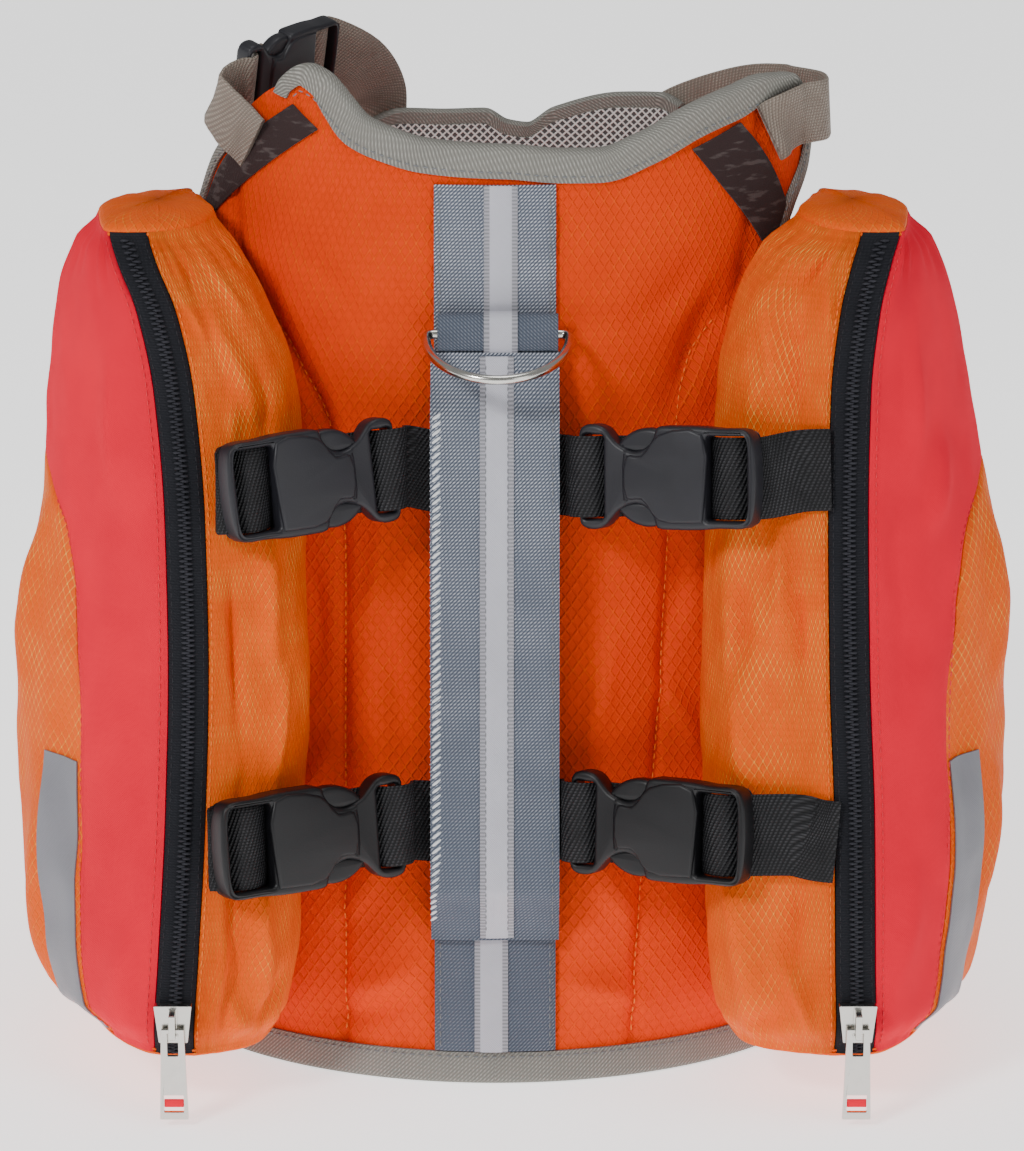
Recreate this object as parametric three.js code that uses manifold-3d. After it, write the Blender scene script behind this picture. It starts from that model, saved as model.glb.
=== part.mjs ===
// Dog life jacket with two buckled saddlebags, standing on its tail hem with the neck up.
// Millimetres, +Z up, +X to the wearer's left as the back is looked at, +Y away from the looker.
// The origin is on the floor under the middle of the jacket's box.
import Module from 'manifold-3d';
import * as THREE from 'three';
import { mergeVertices } from 'three/addons/utils/BufferGeometryUtils.js';

const wasm = await Module();
wasm.setup();

// The tables below are measured from the middle of the back; BOX_MIDDLE moves the origin from there
const BOX_MIDDLE = { x: 4.76, y: -20.345 };

// Driving dimensions of the body tube
const BACK_AT_HEM = -93.5;
const BACK_LEAN = 0.2165;
const CHEST_AT_HEM = 88;
const CHEST_LEAN = -0.053;
const HALF_WIDTHS = [
  { z: 0, left: 112, right: 112 },
  { z: 100, left: 110, right: 110 },
  { z: 200, left: 105, right: 105 },
  { z: 246, left: 99, right: 100 },
  { z: 270, left: 93, right: 101 },
  { z: 325, left: 84, right: 101 },
];
const PAD = 6;
const PAD_EDGE = 3;
const CHANNEL_PUFF = 1.8;
const SEAM = 0.35;
const SIDE_SEAM = 118;
const ARMHOLE_FOOT = 172;

// Driving dimensions of trims
const TAPE_WALL = 1.2;
const HEM_WIDTH = 9;
const HEM_STEPS = 56;
const TAPE_GAP = 0.9;
const PANEL_FOOT = TAPE_GAP + TAPE_WALL;
const ARM_TAPE_WIDTH = 2.6;
const STRIP_WIDTH = 38;
const STRIP_WALL = 1.2;
const HANDLE_WIDTH = 40;
const HANDLE_WALL = 2.4;
const HANDLE_TOP = 226;
const HANDLE_FOOT = 46;
const REFLECTIVE_WIDTH = 10.5;
const WEB = 25;
const WEB_WALL = 1.4;
const SHOULDER_WEB = 19;

// Driving dimensions of hardware
const RING_OUTSIDE = 47.5;
const RING_REACH = 34;
const RING_WIRE = 3;
const RING_DROP = 76;
const RING_CORNER = 2.5;
const RING_BAR = { x: 0.9, y: -48.9, z: 231.5 };
const BUCKLE = { plugLength: 26, socketLength: 36, width: 32, plugDepth: 7, socketDepth: 9, slot: 5.5 };
const SLIDER = { z: 33, half: 6, plate: 3.2, bridge: 4.2, bridgeWall: 1.1 };
const SHOULDER_BUCKLE = 42;
const PULL_LENGTH = 29.5;
const PULL_WALL = 1.4;

// Edges of the back panel: turn round the tube in degrees from the middle of the back, and height
const COLLAR_EDGE = [
  { turn: -54.3, z: 294 },
  { turn: -50.7, z: 303.5 },
  { turn: -44.5, z: 308 },
  { turn: -39, z: 306 },
  { turn: -33, z: 299.5 },
  { turn: -28, z: 293.5 },
  { turn: -21.3, z: 289.8 },
  { turn: -14.2, z: 287.2 },
  { turn: -5, z: 286 },
  { turn: 3, z: 285.5 },
  { turn: 11.5, z: 284.2 },
  { turn: 18.7, z: 284 },
  { turn: 27, z: 288.2 },
  { turn: 37.6, z: 295.8 },
  { turn: 46.9, z: 300.2 },
  { turn: 57.1, z: 303.3 },
  { turn: 68, z: 302.8 },
  { turn: 76, z: 298 },
];
const LEFT_EDGE = [
  { turn: -SIDE_SEAM, z: PANEL_FOOT },
  { turn: -SIDE_SEAM, z: 60 },
  { turn: -SIDE_SEAM, z: 120 },
  { turn: -SIDE_SEAM, z: ARMHOLE_FOOT },
  { turn: -112, z: 192 },
  { turn: -101, z: 209 },
  { turn: -90, z: 227 },
  { turn: -84, z: 246 },
  { turn: -82.5, z: 262 },
  { turn: -77, z: 276 },
  { turn: -66, z: 287 },
  { turn: -54.3, z: 294 },
];
const RIGHT_EDGE = [
  { turn: SIDE_SEAM, z: PANEL_FOOT },
  { turn: SIDE_SEAM, z: 60 },
  { turn: SIDE_SEAM, z: 120 },
  { turn: SIDE_SEAM, z: ARMHOLE_FOOT },
  { turn: 111, z: 190 },
  { turn: 97, z: 205 },
  { turn: 80, z: 218 },
  { turn: 67, z: 232 },
  { turn: 62.5, z: 248 },
  { turn: 68, z: 263 },
  { turn: 78, z: 276 },
  { turn: 83, z: 288 },
  { turn: 76, z: 298 },
];

// Edges of the chest panel, on the far side of the tube
const CHEST_SEAM = SIDE_SEAM + 0.3;
const CHEST_RIGHT_EDGE = [
  { turn: CHEST_SEAM, z: PANEL_FOOT },
  { turn: CHEST_SEAM, z: 60 },
  { turn: CHEST_SEAM, z: 120 },
  { turn: CHEST_SEAM, z: ARMHOLE_FOOT },
  { turn: 122, z: 192 },
  { turn: 129, z: 218 },
  { turn: 135, z: 246 },
  { turn: 139, z: 268 },
  { turn: 141, z: 283 },
];
const CHEST_TOP_EDGE = [
  { turn: 141, z: 283 },
  { turn: 147, z: 286.5 },
  { turn: 155.8, z: 286 },
  { turn: 168.6, z: 280.5 },
  { turn: 174, z: 275 },
  { turn: 178, z: 276 },
  { turn: 182.5, z: 279.8 },
  { turn: 190.2, z: 279.6 },
  { turn: 201, z: 280.3 },
  { turn: 208.8, z: 277 },
];
const CHEST_LEFT_EDGE = [
  { turn: 360 - CHEST_SEAM, z: PANEL_FOOT },
  { turn: 360 - CHEST_SEAM, z: 60 },
  { turn: 360 - CHEST_SEAM, z: 120 },
  { turn: 360 - CHEST_SEAM, z: ARMHOLE_FOOT },
  { turn: 238, z: 192 },
  { turn: 230, z: 218 },
  { turn: 221, z: 246 },
  { turn: 213.5, z: 265 },
  { turn: 208.8, z: 277 },
];

// Sewn channels of the back panel: distance from the middle at each height
const CHANNELS = [
  { z: 0, left: -47.5, right: 43 },
  { z: 54, left: -47.4, right: 45.7 },
  { z: 97, left: -47.4, right: 50.4 },
  { z: 160, left: -47.2, right: 54.4 },
  { z: 200, left: -51.8, right: 56.5 },
  { z: 220, left: -62, right: 61.3 },
  { z: 245, left: -80.9, right: 78 },
  { z: 300, left: -84, right: 84 },
];

// Saddlebags at each height: inner side, middle of the zip, front, outer side and its depth,
// and the outer foot's turn on the body
const BAG_LEFT = [
  { z: 20, inner: 69, zip: 99, crown: -117.5, outer: 131, side: -62, foot: 95 },
  { z: 30, inner: 64.5, zip: 98.5, crown: -122.5, outer: 145, side: -58, foot: 95 },
  { z: 50, inner: 61, zip: 97, crown: -120.5, outer: 150.5, side: -54, foot: 95 },
  { z: 94, inner: 59.5, zip: 94.5, crown: -110.5, outer: 153, side: -45, foot: 95 },
  { z: 136, inner: 58, zip: 93.5, crown: -99.5, outer: 151, side: -38, foot: 95 },
  { z: 180, inner: 58.5, zip: 94.5, crown: -87.5, outer: 143.5, side: -28, foot: 94 },
  { z: 218, inner: 62, zip: 98, crown: -75, outer: 141, side: -20, foot: 92 },
  { z: 242, inner: 71, zip: 103.5, crown: -67, outer: 138, side: -15, foot: 90 },
  { z: 256, inner: 80, zip: 110, crown: -59, outer: 132, side: -12, foot: 87 },
  { z: 264, inner: 88, zip: 113, crown: -51, outer: 125, side: -12, foot: 84 },
];
const BAG_RIGHT = [
  { z: 20, inner: 73, zip: 111, crown: -117.5, outer: 140, side: -66, foot: 95 },
  { z: 30, inner: 68, zip: 111, crown: -122.5, outer: 152, side: -60, foot: 95 },
  { z: 50, inner: 66.5, zip: 110.5, crown: -120.5, outer: 157, side: -54, foot: 95 },
  { z: 94, inner: 65, zip: 110, crown: -110.5, outer: 162.5, side: -45, foot: 95 },
  { z: 136, inner: 65.5, zip: 108.5, crown: -99.5, outer: 162, side: -38, foot: 95 },
  { z: 180, inner: 67, zip: 108, crown: -87.5, outer: 156, side: -28, foot: 94 },
  { z: 218, inner: 69.5, zip: 109, crown: -75, outer: 149, side: -20, foot: 92 },
  { z: 242, inner: 75, zip: 112, crown: -67, outer: 143.5, side: -15, foot: 90 },
  { z: 256, inner: 84, zip: 116, crown: -59, outer: 137, side: -12, foot: 87 },
  { z: 264, inner: 95, zip: 119, crown: -51, outer: 130, side: -12, foot: 84 },
];
const BAG_ROWS = [20, 25, 32, 44, 64, 84, 104, 128, 152, 172, 188, 204, 222, 238, 250, 258, 264];
const SEAM_ROWS = [20, 32, 64, 84, 104, 128, 150, 164, 174, 181, 187, 191, 194, 197, 199.5];
const BAG_WALL = 1.2;
const TAPE_COLUMNS = [0.016, 0.075, 0.133];
const TAPE_TOP = 104;
const ZIP_HALF = 6.3;
const BAG_LIFT = 1.1;
const BAG_LIFT_TOP = 3.6;

const wallColours = {
  orange: { color: 0xff6a0a, roughness: 0.75 },
  bagOrange: { color: 0xff8c1a, roughness: 0.65 },
  red: { color: 0xf23350, roughness: 0.8 },
  greyTape: { color: 0x96948a, roughness: 0.9 },
  strip: { color: 0x7a8798, roughness: 0.85 },
  reflective: { color: 0xc4c4d0, roughness: 0.4 },
  darkNap: { color: 0x3c3030, roughness: 1 },
  mesh: { color: 0xc9cfc9, roughness: 0.9 },
  webbing: { color: 0x1c1c1e, roughness: 0.8 },
  shoulderWebbing: { color: 0x8c8072, roughness: 0.85 },
  zip: { color: 0x202228, roughness: 0.6 },
  plastic: { color: 0x2c2d30, roughness: 0.45 },
  nickel: { color: 0xcfcdc4, roughness: 0.25, metalness: 1 },
};

const degrees = THREE.MathUtils.degToRad;
const mix = THREE.MathUtils.lerp;
const ease = THREE.MathUtils.smoothstep;
const group = new THREE.Group();

function addPiece(name, finish, geometry) {
  geometry.translate(-BOX_MIDDLE.x, -BOX_MIDDLE.y, 0);
  const mesh = new THREE.Mesh(geometry, new THREE.MeshStandardMaterial(wallColours[finish]));
  mesh.name = name;
  group.add(mesh);
  return mesh;
}

// A smooth curve through one column of a table's rows, without overshoot
function column(rows, key, at, name) {
  const last = rows.length - 1;
  if (at <= rows[0][key]) return rows[0][name];
  if (at >= rows[last][key]) return rows[last][name];
  let i = 0;
  while (at > rows[i + 1][key]) i += 1;
  const step = (k) => rows[k + 1][key] - rows[k][key];
  const slope = (k) => (rows[k + 1][name] - rows[k][name]) / step(k);
  const tangent = (k) => {
    if (k === 0 || k === last) return 0;
    const before = slope(k - 1);
    const after = slope(k);
    return before * after <= 0 ? 0 : (2 * before * after) / (before + after);
  };
  const span = step(i);
  const t = (at - rows[i][key]) / span;
  const square = t * t;
  const cube = square * t;
  return (2 * cube - 3 * square + 1) * rows[i][name] + (cube - 2 * square + t) * span * tangent(i)
    + (3 * square - 2 * cube) * rows[i + 1][name] + (cube - square) * span * tangent(i + 1);
}

// A closed mesh from grid layers: loops of points joined into a skin, turned so that it faces out
function closedMesh(points, faces) {
  const sixth = ([a, b, c]) => points[a].dot(points[b].clone().cross(points[c]));
  const volume = faces.reduce((sum, face) => sum + sixth(face), 0);
  const index = faces.flatMap(([a, b, c]) => (volume > 0 ? [a, b, c] : [a, c, b]));
  const geometry = new THREE.BufferGeometry();
  const positions = points.flatMap((p) => p.toArray());
  geometry.setAttribute('position', new THREE.Float32BufferAttribute(positions, 3));
  geometry.setIndex(index);
  geometry.computeVertexNormals();
  return geometry;
}

// A wall between two lifts off a surface, over lists of stations along u and v
function wall(surface, us, vs, low, high) {
  const nu = us.length;
  const nv = vs.length;
  const value = (lift, u, v) => (typeof lift === 'function' ? lift(u, v) : lift);
  const points = [];
  for (const lift of [high, low]) {
    for (const v of vs) for (const u of us) points.push(surface(u, v, value(lift, u, v)));
  }
  const at = (layer, i, j) => layer * nu * nv + j * nu + i;
  const faces = [];
  const quad = (a, b, c, d) => faces.push([a, b, c], [a, c, d]);
  for (let j = 0; j < nv - 1; j += 1) {
    for (let i = 0; i < nu - 1; i += 1) {
      quad(at(0, i, j), at(0, i + 1, j), at(0, i + 1, j + 1), at(0, i, j + 1));
      quad(at(1, i, j), at(1, i, j + 1), at(1, i + 1, j + 1), at(1, i + 1, j));
    }
    quad(at(0, 0, j), at(0, 0, j + 1), at(1, 0, j + 1), at(1, 0, j));
    quad(at(0, nu - 1, j + 1), at(0, nu - 1, j), at(1, nu - 1, j), at(1, nu - 1, j + 1));
  }
  for (let i = 0; i < nu - 1; i += 1) {
    quad(at(0, i + 1, 0), at(0, i, 0), at(1, i, 0), at(1, i + 1, 0));
    quad(at(0, i, nv - 1), at(0, i + 1, nv - 1), at(1, i + 1, nv - 1), at(1, i, nv - 1));
  }
  return closedMesh(points, faces);
}

// A skin over rings of points, one ring at each station, closed on itself or capped
function skin(rings, closed) {
  const size = rings[0].length;
  const points = rings.flat();
  const faces = [];
  const count = rings.length;
  for (let k = 0; k < (closed ? count : count - 1); k += 1) {
    const next = (k + 1) % count;
    for (let i = 0; i < size; i += 1) {
      const j = (i + 1) % size;
      const corners = [k * size + i, k * size + j, next * size + j, next * size + i];
      faces.push([corners[0], corners[1], corners[2]], [corners[0], corners[2], corners[3]]);
    }
  }
  if (!closed) {
    const outline = (ring) => {
      const normal = new THREE.Vector3();
      ring.forEach((p, i) => normal.add(p.clone().cross(ring[(i + 1) % size])));
      normal.normalize();
      const across = ring[1].clone().sub(ring[0]).normalize();
      const up = normal.clone().cross(across);
      const flat = ring.map((p) => new THREE.Vector2(p.dot(across), p.dot(up)));
      return THREE.ShapeUtils.triangulateShape(flat, []);
    };
    for (const [a, b, c] of outline(rings[0])) faces.push([a, c, b]);
    const base = (count - 1) * size;
    for (const [a, b, c] of outline(rings[count - 1])) faces.push([base + a, base + b, base + c]);
  }
  return closedMesh(points, faces);
}

// Evenly spaced values, both ends included
function stations(from, to, steps) {
  return Array.from({ length: steps + 1 }, (_, i) => mix(from, to, i / steps));
}

// The body tube: a point of its outer face at a turn in degrees and a height,
// and one lifted level out of it
function tubePoint(turn, z) {
  const angle = degrees(turn);
  const back = BACK_AT_HEM + BACK_LEAN * z;
  const chest = CHEST_AT_HEM + CHEST_LEAN * z;
  const half = column(HALF_WIDTHS, 'z', z, Math.sin(angle) < 0 ? 'left' : 'right');
  const deep = (chest - back) / 2;
  return new THREE.Vector3(half * Math.sin(angle), back + deep - deep * Math.cos(angle), z);
}

function onTube(turn, z, lift) {
  const around = tubePoint(turn + 0.2, z).sub(tubePoint(turn - 0.2, z)).normalize();
  return tubePoint(turn, z).add(new THREE.Vector3(around.y, -around.x, 0).multiplyScalar(lift));
}

// The turn of the point of the back that lies at a distance x from the middle
function turnAt(x, z) {
  const half = column(HALF_WIDTHS, 'z', z, x < 0 ? 'left' : 'right');
  return THREE.MathUtils.radToDeg(Math.asin(THREE.MathUtils.clamp(x / half, -1, 1)));
}

function onBack(x, z, lift) {
  return onTube(turnAt(x, z), z, lift);
}

// A panel edge as a smooth curve in turn and height
function edgeCurve(rows) {
  const knots = rows.map((row) => new THREE.Vector3(row.turn, row.z, 0));
  const curve = new THREE.CatmullRomCurve3(knots, false, 'centripetal');
  return (t) => curve.getPointAt(t);
}

// A side edge, whose height grows all the way, at a share of its height
function sideEdge(rows) {
  return (t) => {
    const z = mix(rows[0].z, rows.at(-1).z, t);
    return new THREE.Vector3(column(rows, 'z', z, 'turn'), z, 0);
  };
}

// A panel patch between four edge curves
function patch(bottom, top, left, right) {
  const corners = [bottom(0), bottom(1), top(0), top(1)];
  return (u, v) => {
    const b = bottom(u);
    const t = top(u);
    const l = left(v);
    const r = right(v);
    const blend = (k) => (1 - v) * b[k] + v * t[k] + (1 - u) * l[k] + u * r[k]
      - (1 - u) * (1 - v) * corners[0][k] - u * (1 - v) * corners[1][k]
      - (1 - u) * v * corners[2][k] - u * v * corners[3][k];
    return { turn: blend('x'), z: blend('y') };
  };
}

const straightEdge = (from, to) => (t) => new THREE.Vector3(mix(from, to, t), PANEL_FOOT, 0);
const collarEdge = edgeCurve(COLLAR_EDGE);
const leftEdge = sideEdge(LEFT_EDGE);
const rightEdge = sideEdge(RIGHT_EDGE);
const chestTop = edgeCurve(CHEST_TOP_EDGE);
const chestRight = sideEdge(CHEST_RIGHT_EDGE);
const chestLeft = sideEdge(CHEST_LEFT_EDGE);
const backPatch = patch(straightEdge(-SIDE_SEAM, SIDE_SEAM), collarEdge, leftEdge, rightEdge);
const chestPatch = patch(straightEdge(CHEST_SEAM, 360 - CHEST_SEAM), chestTop, chestRight, chestLeft);

// How far a patch point is from the panel's edges, as a share of the padding that it gets
function padding(u, v) {
  const side = Math.min(u, 1 - u) * mix(420, 130, v);
  const end = Math.min(v, 1 - v) * 285;
  return ease(Math.min(side, end), 11, 30);
}

// The pad stands up between sewn channels, and lies flat under the strip, the bags and the bands
function puff(x, z) {
  const channel = column(CHANNELS, 'z', z, x < 0 ? 'left' : 'right');
  const inner = Math.sign(x) * (STRIP_WIDTH / 2 + 5);
  const share = (x - inner) / (channel - inner);
  if (share <= 0 || share >= 1) return 0;
  const ends = ease(z, 14, 34) * (1 - ease(z, 225, 262));
  return CHANNEL_PUFF * ends * Math.sin(Math.PI * share);
}

const backStations = stations(0, 1, 36);
const chestStations = stations(0, 1, 20);
const panelRows = [
  0, 0.045, 0.13, 0.22, 0.31, 0.4, 0.49, 0.57, 0.615, 0.66,
  0.7, 0.74, 0.78, 0.82, 0.86, 0.9, 0.935, 0.95, 0.97, 1,
];

function buildBackPanel() {
  const surface = (u, v, lift) => {
    const { turn, z } = backPatch(u, v);
    return onTube(turn, z, lift);
  };
  const low = (u, v) => -mix(PAD_EDGE, PAD, padding(u, v));
  const high = (u, v) => {
    const { turn, z } = backPatch(u, v);
    return Math.abs(turn) > 60 ? 0 : puff(tubePoint(turn, z).x, z);
  };
  addPiece('back_panel', 'orange', wall(surface, backStations, panelRows, low, high));
}

function buildChest() {
  const surface = (u, v, lift) => {
    const { turn, z } = chestPatch(u, v);
    return onTube(turn, z, lift);
  };
  const low = (u, v) => -mix(PAD_EDGE, PAD, padding(u, v));
  addPiece('chest_panel', 'orange', wall(surface, chestStations, panelRows, low, 0));
  const inside = (u, v) => low(u, v) - SEAM;
  const lining = (u, v) => inside(u, v) - 1;
  const liningColumns = chestStations.slice(2, -2);
  const liningRows = panelRows.filter((v) => v > 0.3 && v < 0.95);
  addPiece('chest_lining', 'mesh', wall(surface, liningColumns, liningRows, lining, inside));
}

// A folded tape over a panel's edge: two legs and the fold between them
function edgeTape(curve, shares, outSide, leg, closed = false) {
  const rings = [];
  for (const t of shares) {
    const here = curve(t);
    const before = curve(Math.max(t - 0.004, 0));
    const after = curve(Math.min(t + 0.004, 1));
    const perDegree = tubePoint(here.x + 0.5, here.y).distanceTo(tubePoint(here.x - 0.5, here.y));
    const along = new THREE.Vector2((after.x - before.x) * perDegree, after.y - before.y).normalize();
    const out = new THREE.Vector2(-along.y, along.x).multiplyScalar(outSide);
    const width = leg(t);
    const fold = TAPE_GAP + TAPE_WALL;
    const section = [
      { reach: -width, lift: TAPE_GAP },
      { reach: -width, lift: fold },
      { reach: fold, lift: fold },
      { reach: fold, lift: -PAD_EDGE - fold },
      { reach: -width, lift: -PAD_EDGE - fold },
      { reach: -width, lift: -PAD_EDGE - TAPE_GAP },
      { reach: TAPE_GAP, lift: -PAD_EDGE - TAPE_GAP },
      { reach: TAPE_GAP, lift: TAPE_GAP },
    ];
    rings.push(section.map(({ reach, lift }) => (
      onTube(here.x + (out.x * reach) / perDegree, here.y + out.y * reach, lift))));
  }
  return skin(rings, closed);
}

function buildTapes() {
  const between = (list, low, high) => list.filter((share) => share > low && share < high);
  const collarLeg = (t) => mix(3.6, 8, ease(Math.min(t * 1.25, (1 - t) * 1.6), 0.08, 0.34));
  const collarStations = between(backStations, 0.06, 0.98);
  addPiece('collar_binding', 'greyTape', edgeTape(collarEdge, collarStations, 1, collarLeg));
  const thin = () => ARM_TAPE_WIDTH;
  const arm = between(panelRows, 0.6, 0.975);
  addPiece('armhole_binding_left', 'greyTape', edgeTape(leftEdge, between(panelRows, 0.6, 0.96), 1, thin));
  addPiece('armhole_binding_right', 'greyTape', edgeTape(rightEdge, arm, -1, thin));
  addPiece('chest_binding', 'greyTape', edgeTape(chestTop, between(chestStations, 0.04, 0.96), 1, () => 6));
  const chestArm = between(panelRows, 0.64, 0.95);
  addPiece('chest_armhole_binding_right', 'greyTape', edgeTape(chestRight, chestArm, 1, thin));
  addPiece('chest_armhole_binding_left', 'greyTape', edgeTape(chestLeft, chestArm, -1, thin));
  const hem = (t) => new THREE.Vector3(mix(0, 360, t), PANEL_FOOT, 0);
  const round = stations(0, 1, HEM_STEPS).slice(0, -1);
  addPiece('hem_binding', 'greyTape', edgeTape(hem, round, -1, () => HEM_WIDTH - TAPE_WALL, true));
}

// A dark band over each shoulder: two edges in turn and height, with the cloth between them
function shoulderBand(name, upper, lower, finish, low, high) {
  const top = edgeCurve(upper);
  const bottom = edgeCurve(lower);
  const surface = (u, v, lift) => {
    const a = bottom(u);
    const b = top(u);
    return onTube(mix(a.x, b.x, v), mix(a.y, b.y, v), lift);
  };
  addPiece(name, finish, wall(surface, stations(0, 1, 10), stations(0, 1, 4), low, high));
}

function buildShoulderBands() {
  shoulderBand('shoulder_band_left',
    [
      { turn: -46.5, z: 297.5 }, { turn: -55, z: 290.5 }, { turn: -65, z: 282.5 },
      { turn: -72, z: 274 }, { turn: -76.5, z: 262 },
    ],
    [
      { turn: -38.5, z: 290.5 }, { turn: -50, z: 280 }, { turn: -62, z: 268.5 },
      { turn: -71, z: 259 }, { turn: -77.5, z: 251 },
    ],
    'darkNap', SEAM, 1.5);
  shoulderBand('shoulder_band_right',
    [{ turn: 49.5, z: 291.5 }, { turn: 55, z: 284 }, { turn: 60, z: 276 }, { turn: 65.5, z: 265 }],
    [{ turn: 37.5, z: 284.5 }, { turn: 45, z: 272 }, { turn: 53, z: 260 }, { turn: 59.5, z: 250 }],
    'darkNap', SEAM, 1.5);
}

// A band up the middle of the back: width, heights and lift off the panel
function centreBand(name, finish, width, heights, lift, thickness, middle = 0, follow = 1, steps = 6) {
  const surface = (u, z, l) => {
    const point = onBack(0, z, l);
    point.x = middle + u;
    return point;
  };
  const low = (u, z) => (typeof lift === 'function' ? lift(z) : lift) - follow * sag(middle + u, z);
  const high = (u, z) => low(u, z) + thickness;
  addPiece(name, finish, wall(surface, stations(-width / 2, width / 2, steps), heights, low, high));
}

// How far the panel falls away beside its middle, so that a sewn band follows it
function sag(x, z) {
  const middle = onBack(0, z, 0);
  const beside = onBack(x, z, 0);
  return beside.y - middle.y;
}

// The lift of the handle's inner face over the strip, at each height
const HANDLE_RISE = [
  { z: HANDLE_FOOT, lift: 2.2 },
  { z: 56, lift: 6.6 },
  { z: 65, lift: 12.4 },
  { z: 84, lift: 13.8 },
  { z: 135, lift: 14 },
  { z: 190, lift: 13.6 },
  { z: 207, lift: 13 },
  { z: 216, lift: 7.8 },
  { z: HANDLE_TOP, lift: 4 },
];
const handleHeights = [
  HANDLE_FOOT, 48, 52, 57, 62, 67, 75, 86, 104, 120,
  135, 150, 168, 186, 198, 206, 211, 216, 221, 224, HANDLE_TOP,
];
const handleLift = (z) => column(HANDLE_RISE, 'z', z, 'lift');

function buildStripAndHandle() {
  const stripTop = 275.6;
  const stripFoot = 10.4;
  const stripLift = SEAM + 0.15;
  const onStrip = stripLift + STRIP_WALL + SEAM;
  centreBand('centre_strip', 'strip', STRIP_WIDTH, stations(stripFoot, stripTop, 14), stripLift, STRIP_WALL);
  centreBand('handle', 'strip', HANDLE_WIDTH, handleHeights, handleLift, HANDLE_WALL, 0, 0, 4);
  const tapeSteps = 2;
  const tape = (name, heights, lift, middle, follow) => (
    centreBand(name, 'reflective', REFLECTIVE_WIDTH, heights, lift, 0.6, middle, follow, tapeSteps));
  tape('reflective_tape_upper', stations(240.5, stripTop, 4), onStrip, 1.8, 1);
  tape('reflective_tape_lower', stations(stripFoot, HANDLE_FOOT - 1, 3), onStrip, -1.2, 1);
  const onHandle = (z) => handleLift(z) + HANDLE_WALL + SEAM;
  tape('reflective_tape_handle', handleHeights.slice(1, -1), onHandle, 0.6, 0);
}

// The webbing loop that holds the ring's bar: an open oval fold round the bar
function buildRingLoop() {
  const rise = { inner: 4.6, outer: 5.9 };
  const depth = { inner: RING_WIRE / 2 + 0.45, outer: RING_WIRE / 2 + 1.75 };
  const turns = stations(-105, 225, 14);
  const oval = (turn, layer) => {
    const angle = degrees(turn);
    return { y: -Math.cos(angle) * depth[layer], z: Math.sin(angle) * rise[layer] };
  };
  const outerHalf = turns.map((turn) => oval(turn, 'outer'));
  const innerHalf = turns.slice().reverse().map((turn) => oval(turn, 'inner'));
  const outline = outerHalf.concat(innerHalf);
  const half = STRIP_WIDTH / 2 - 0.3;
  const rings = [-half, half].map((x) => (
    outline.map((p) => new THREE.Vector3(RING_BAR.x + x, RING_BAR.y + p.y, RING_BAR.z + 0.5 + p.z))));
  addPiece('ring_loop', 'strip', skin(rings, false));
}

// The lead ring: a wire bent to a D, its bar in the loop
function buildRing() {
  const half = (RING_OUTSIDE - RING_WIRE) / 2;
  const reach = RING_REACH - RING_WIRE;
  const straight = half - RING_CORNER;
  const path = [];
  for (const x of stations(-straight, straight, 2)) path.push({ x, out: 0 });
  const corner = (turn) => ({
    x: straight + RING_CORNER * Math.cos(degrees(turn)),
    out: RING_CORNER * (1 + Math.sin(degrees(turn))),
  });
  path.push(corner(-60), corner(-30));
  for (const turn of stations(0, 180, 16)) {
    const out = RING_CORNER + (reach - RING_CORNER) * Math.sin(degrees(turn));
    path.push({ x: half * Math.cos(degrees(turn)), out });
  }
  for (const { x, out } of [corner(-30), corner(-60)]) path.push({ x: -x, out });
  const down = degrees(RING_DROP);
  const away = new THREE.Vector3(0, -Math.sin(down), -Math.cos(down));
  const flat = new THREE.Vector3(0, -Math.cos(down), Math.sin(down));
  const bar = new THREE.Vector3(RING_BAR.x, RING_BAR.y, RING_BAR.z);
  const wide = new THREE.Vector3(1, 0, 0);
  const centres = path.map(({ x, out }) => bar.clone().addScaledVector(away, out).addScaledVector(wide, x));
  const rings = centres.map((centre, k) => {
    const before = centres[(k + centres.length - 1) % centres.length];
    const after = centres[(k + 1) % centres.length];
    const along = after.clone().sub(before).normalize();
    const across = along.clone().cross(flat).normalize();
    return stations(0, 315, 7).map((turn) => centre.clone()
      .addScaledVector(across, (Math.cos(degrees(turn)) * RING_WIRE) / 2)
      .addScaledVector(flat, (Math.sin(degrees(turn)) * RING_WIRE) / 2));
  });
  addPiece('d_ring', 'nickel', skin(rings, true));
}

// A flat ribbon along hand-set points, each with the direction of its width
function ribbon(rows, width, thickness, steps) {
  const middles = rows.map((r) => new THREE.Vector3(r.x, r.y, r.z));
  const widths = rows.map((r) => new THREE.Vector3(r.wx, r.wy, r.wz));
  const path = new THREE.CatmullRomCurve3(middles, false, 'centripetal');
  const across = new THREE.CatmullRomCurve3(widths, false, 'centripetal');
  const rings = stations(0, 1, steps).map((t) => {
    const centre = path.getPoint(t);
    const along = path.getTangent(t);
    const side = across.getPoint(t);
    side.addScaledVector(along, -side.dot(along)).normalize();
    const up = along.clone().cross(side).normalize();
    return [[-1, -1], [1, -1], [1, 1], [-1, 1]].map(([a, b]) => centre.clone()
      .addScaledVector(side, (a * width) / 2).addScaledVector(up, (b * thickness) / 2));
  });
  return skin(rings, false);
}

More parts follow.
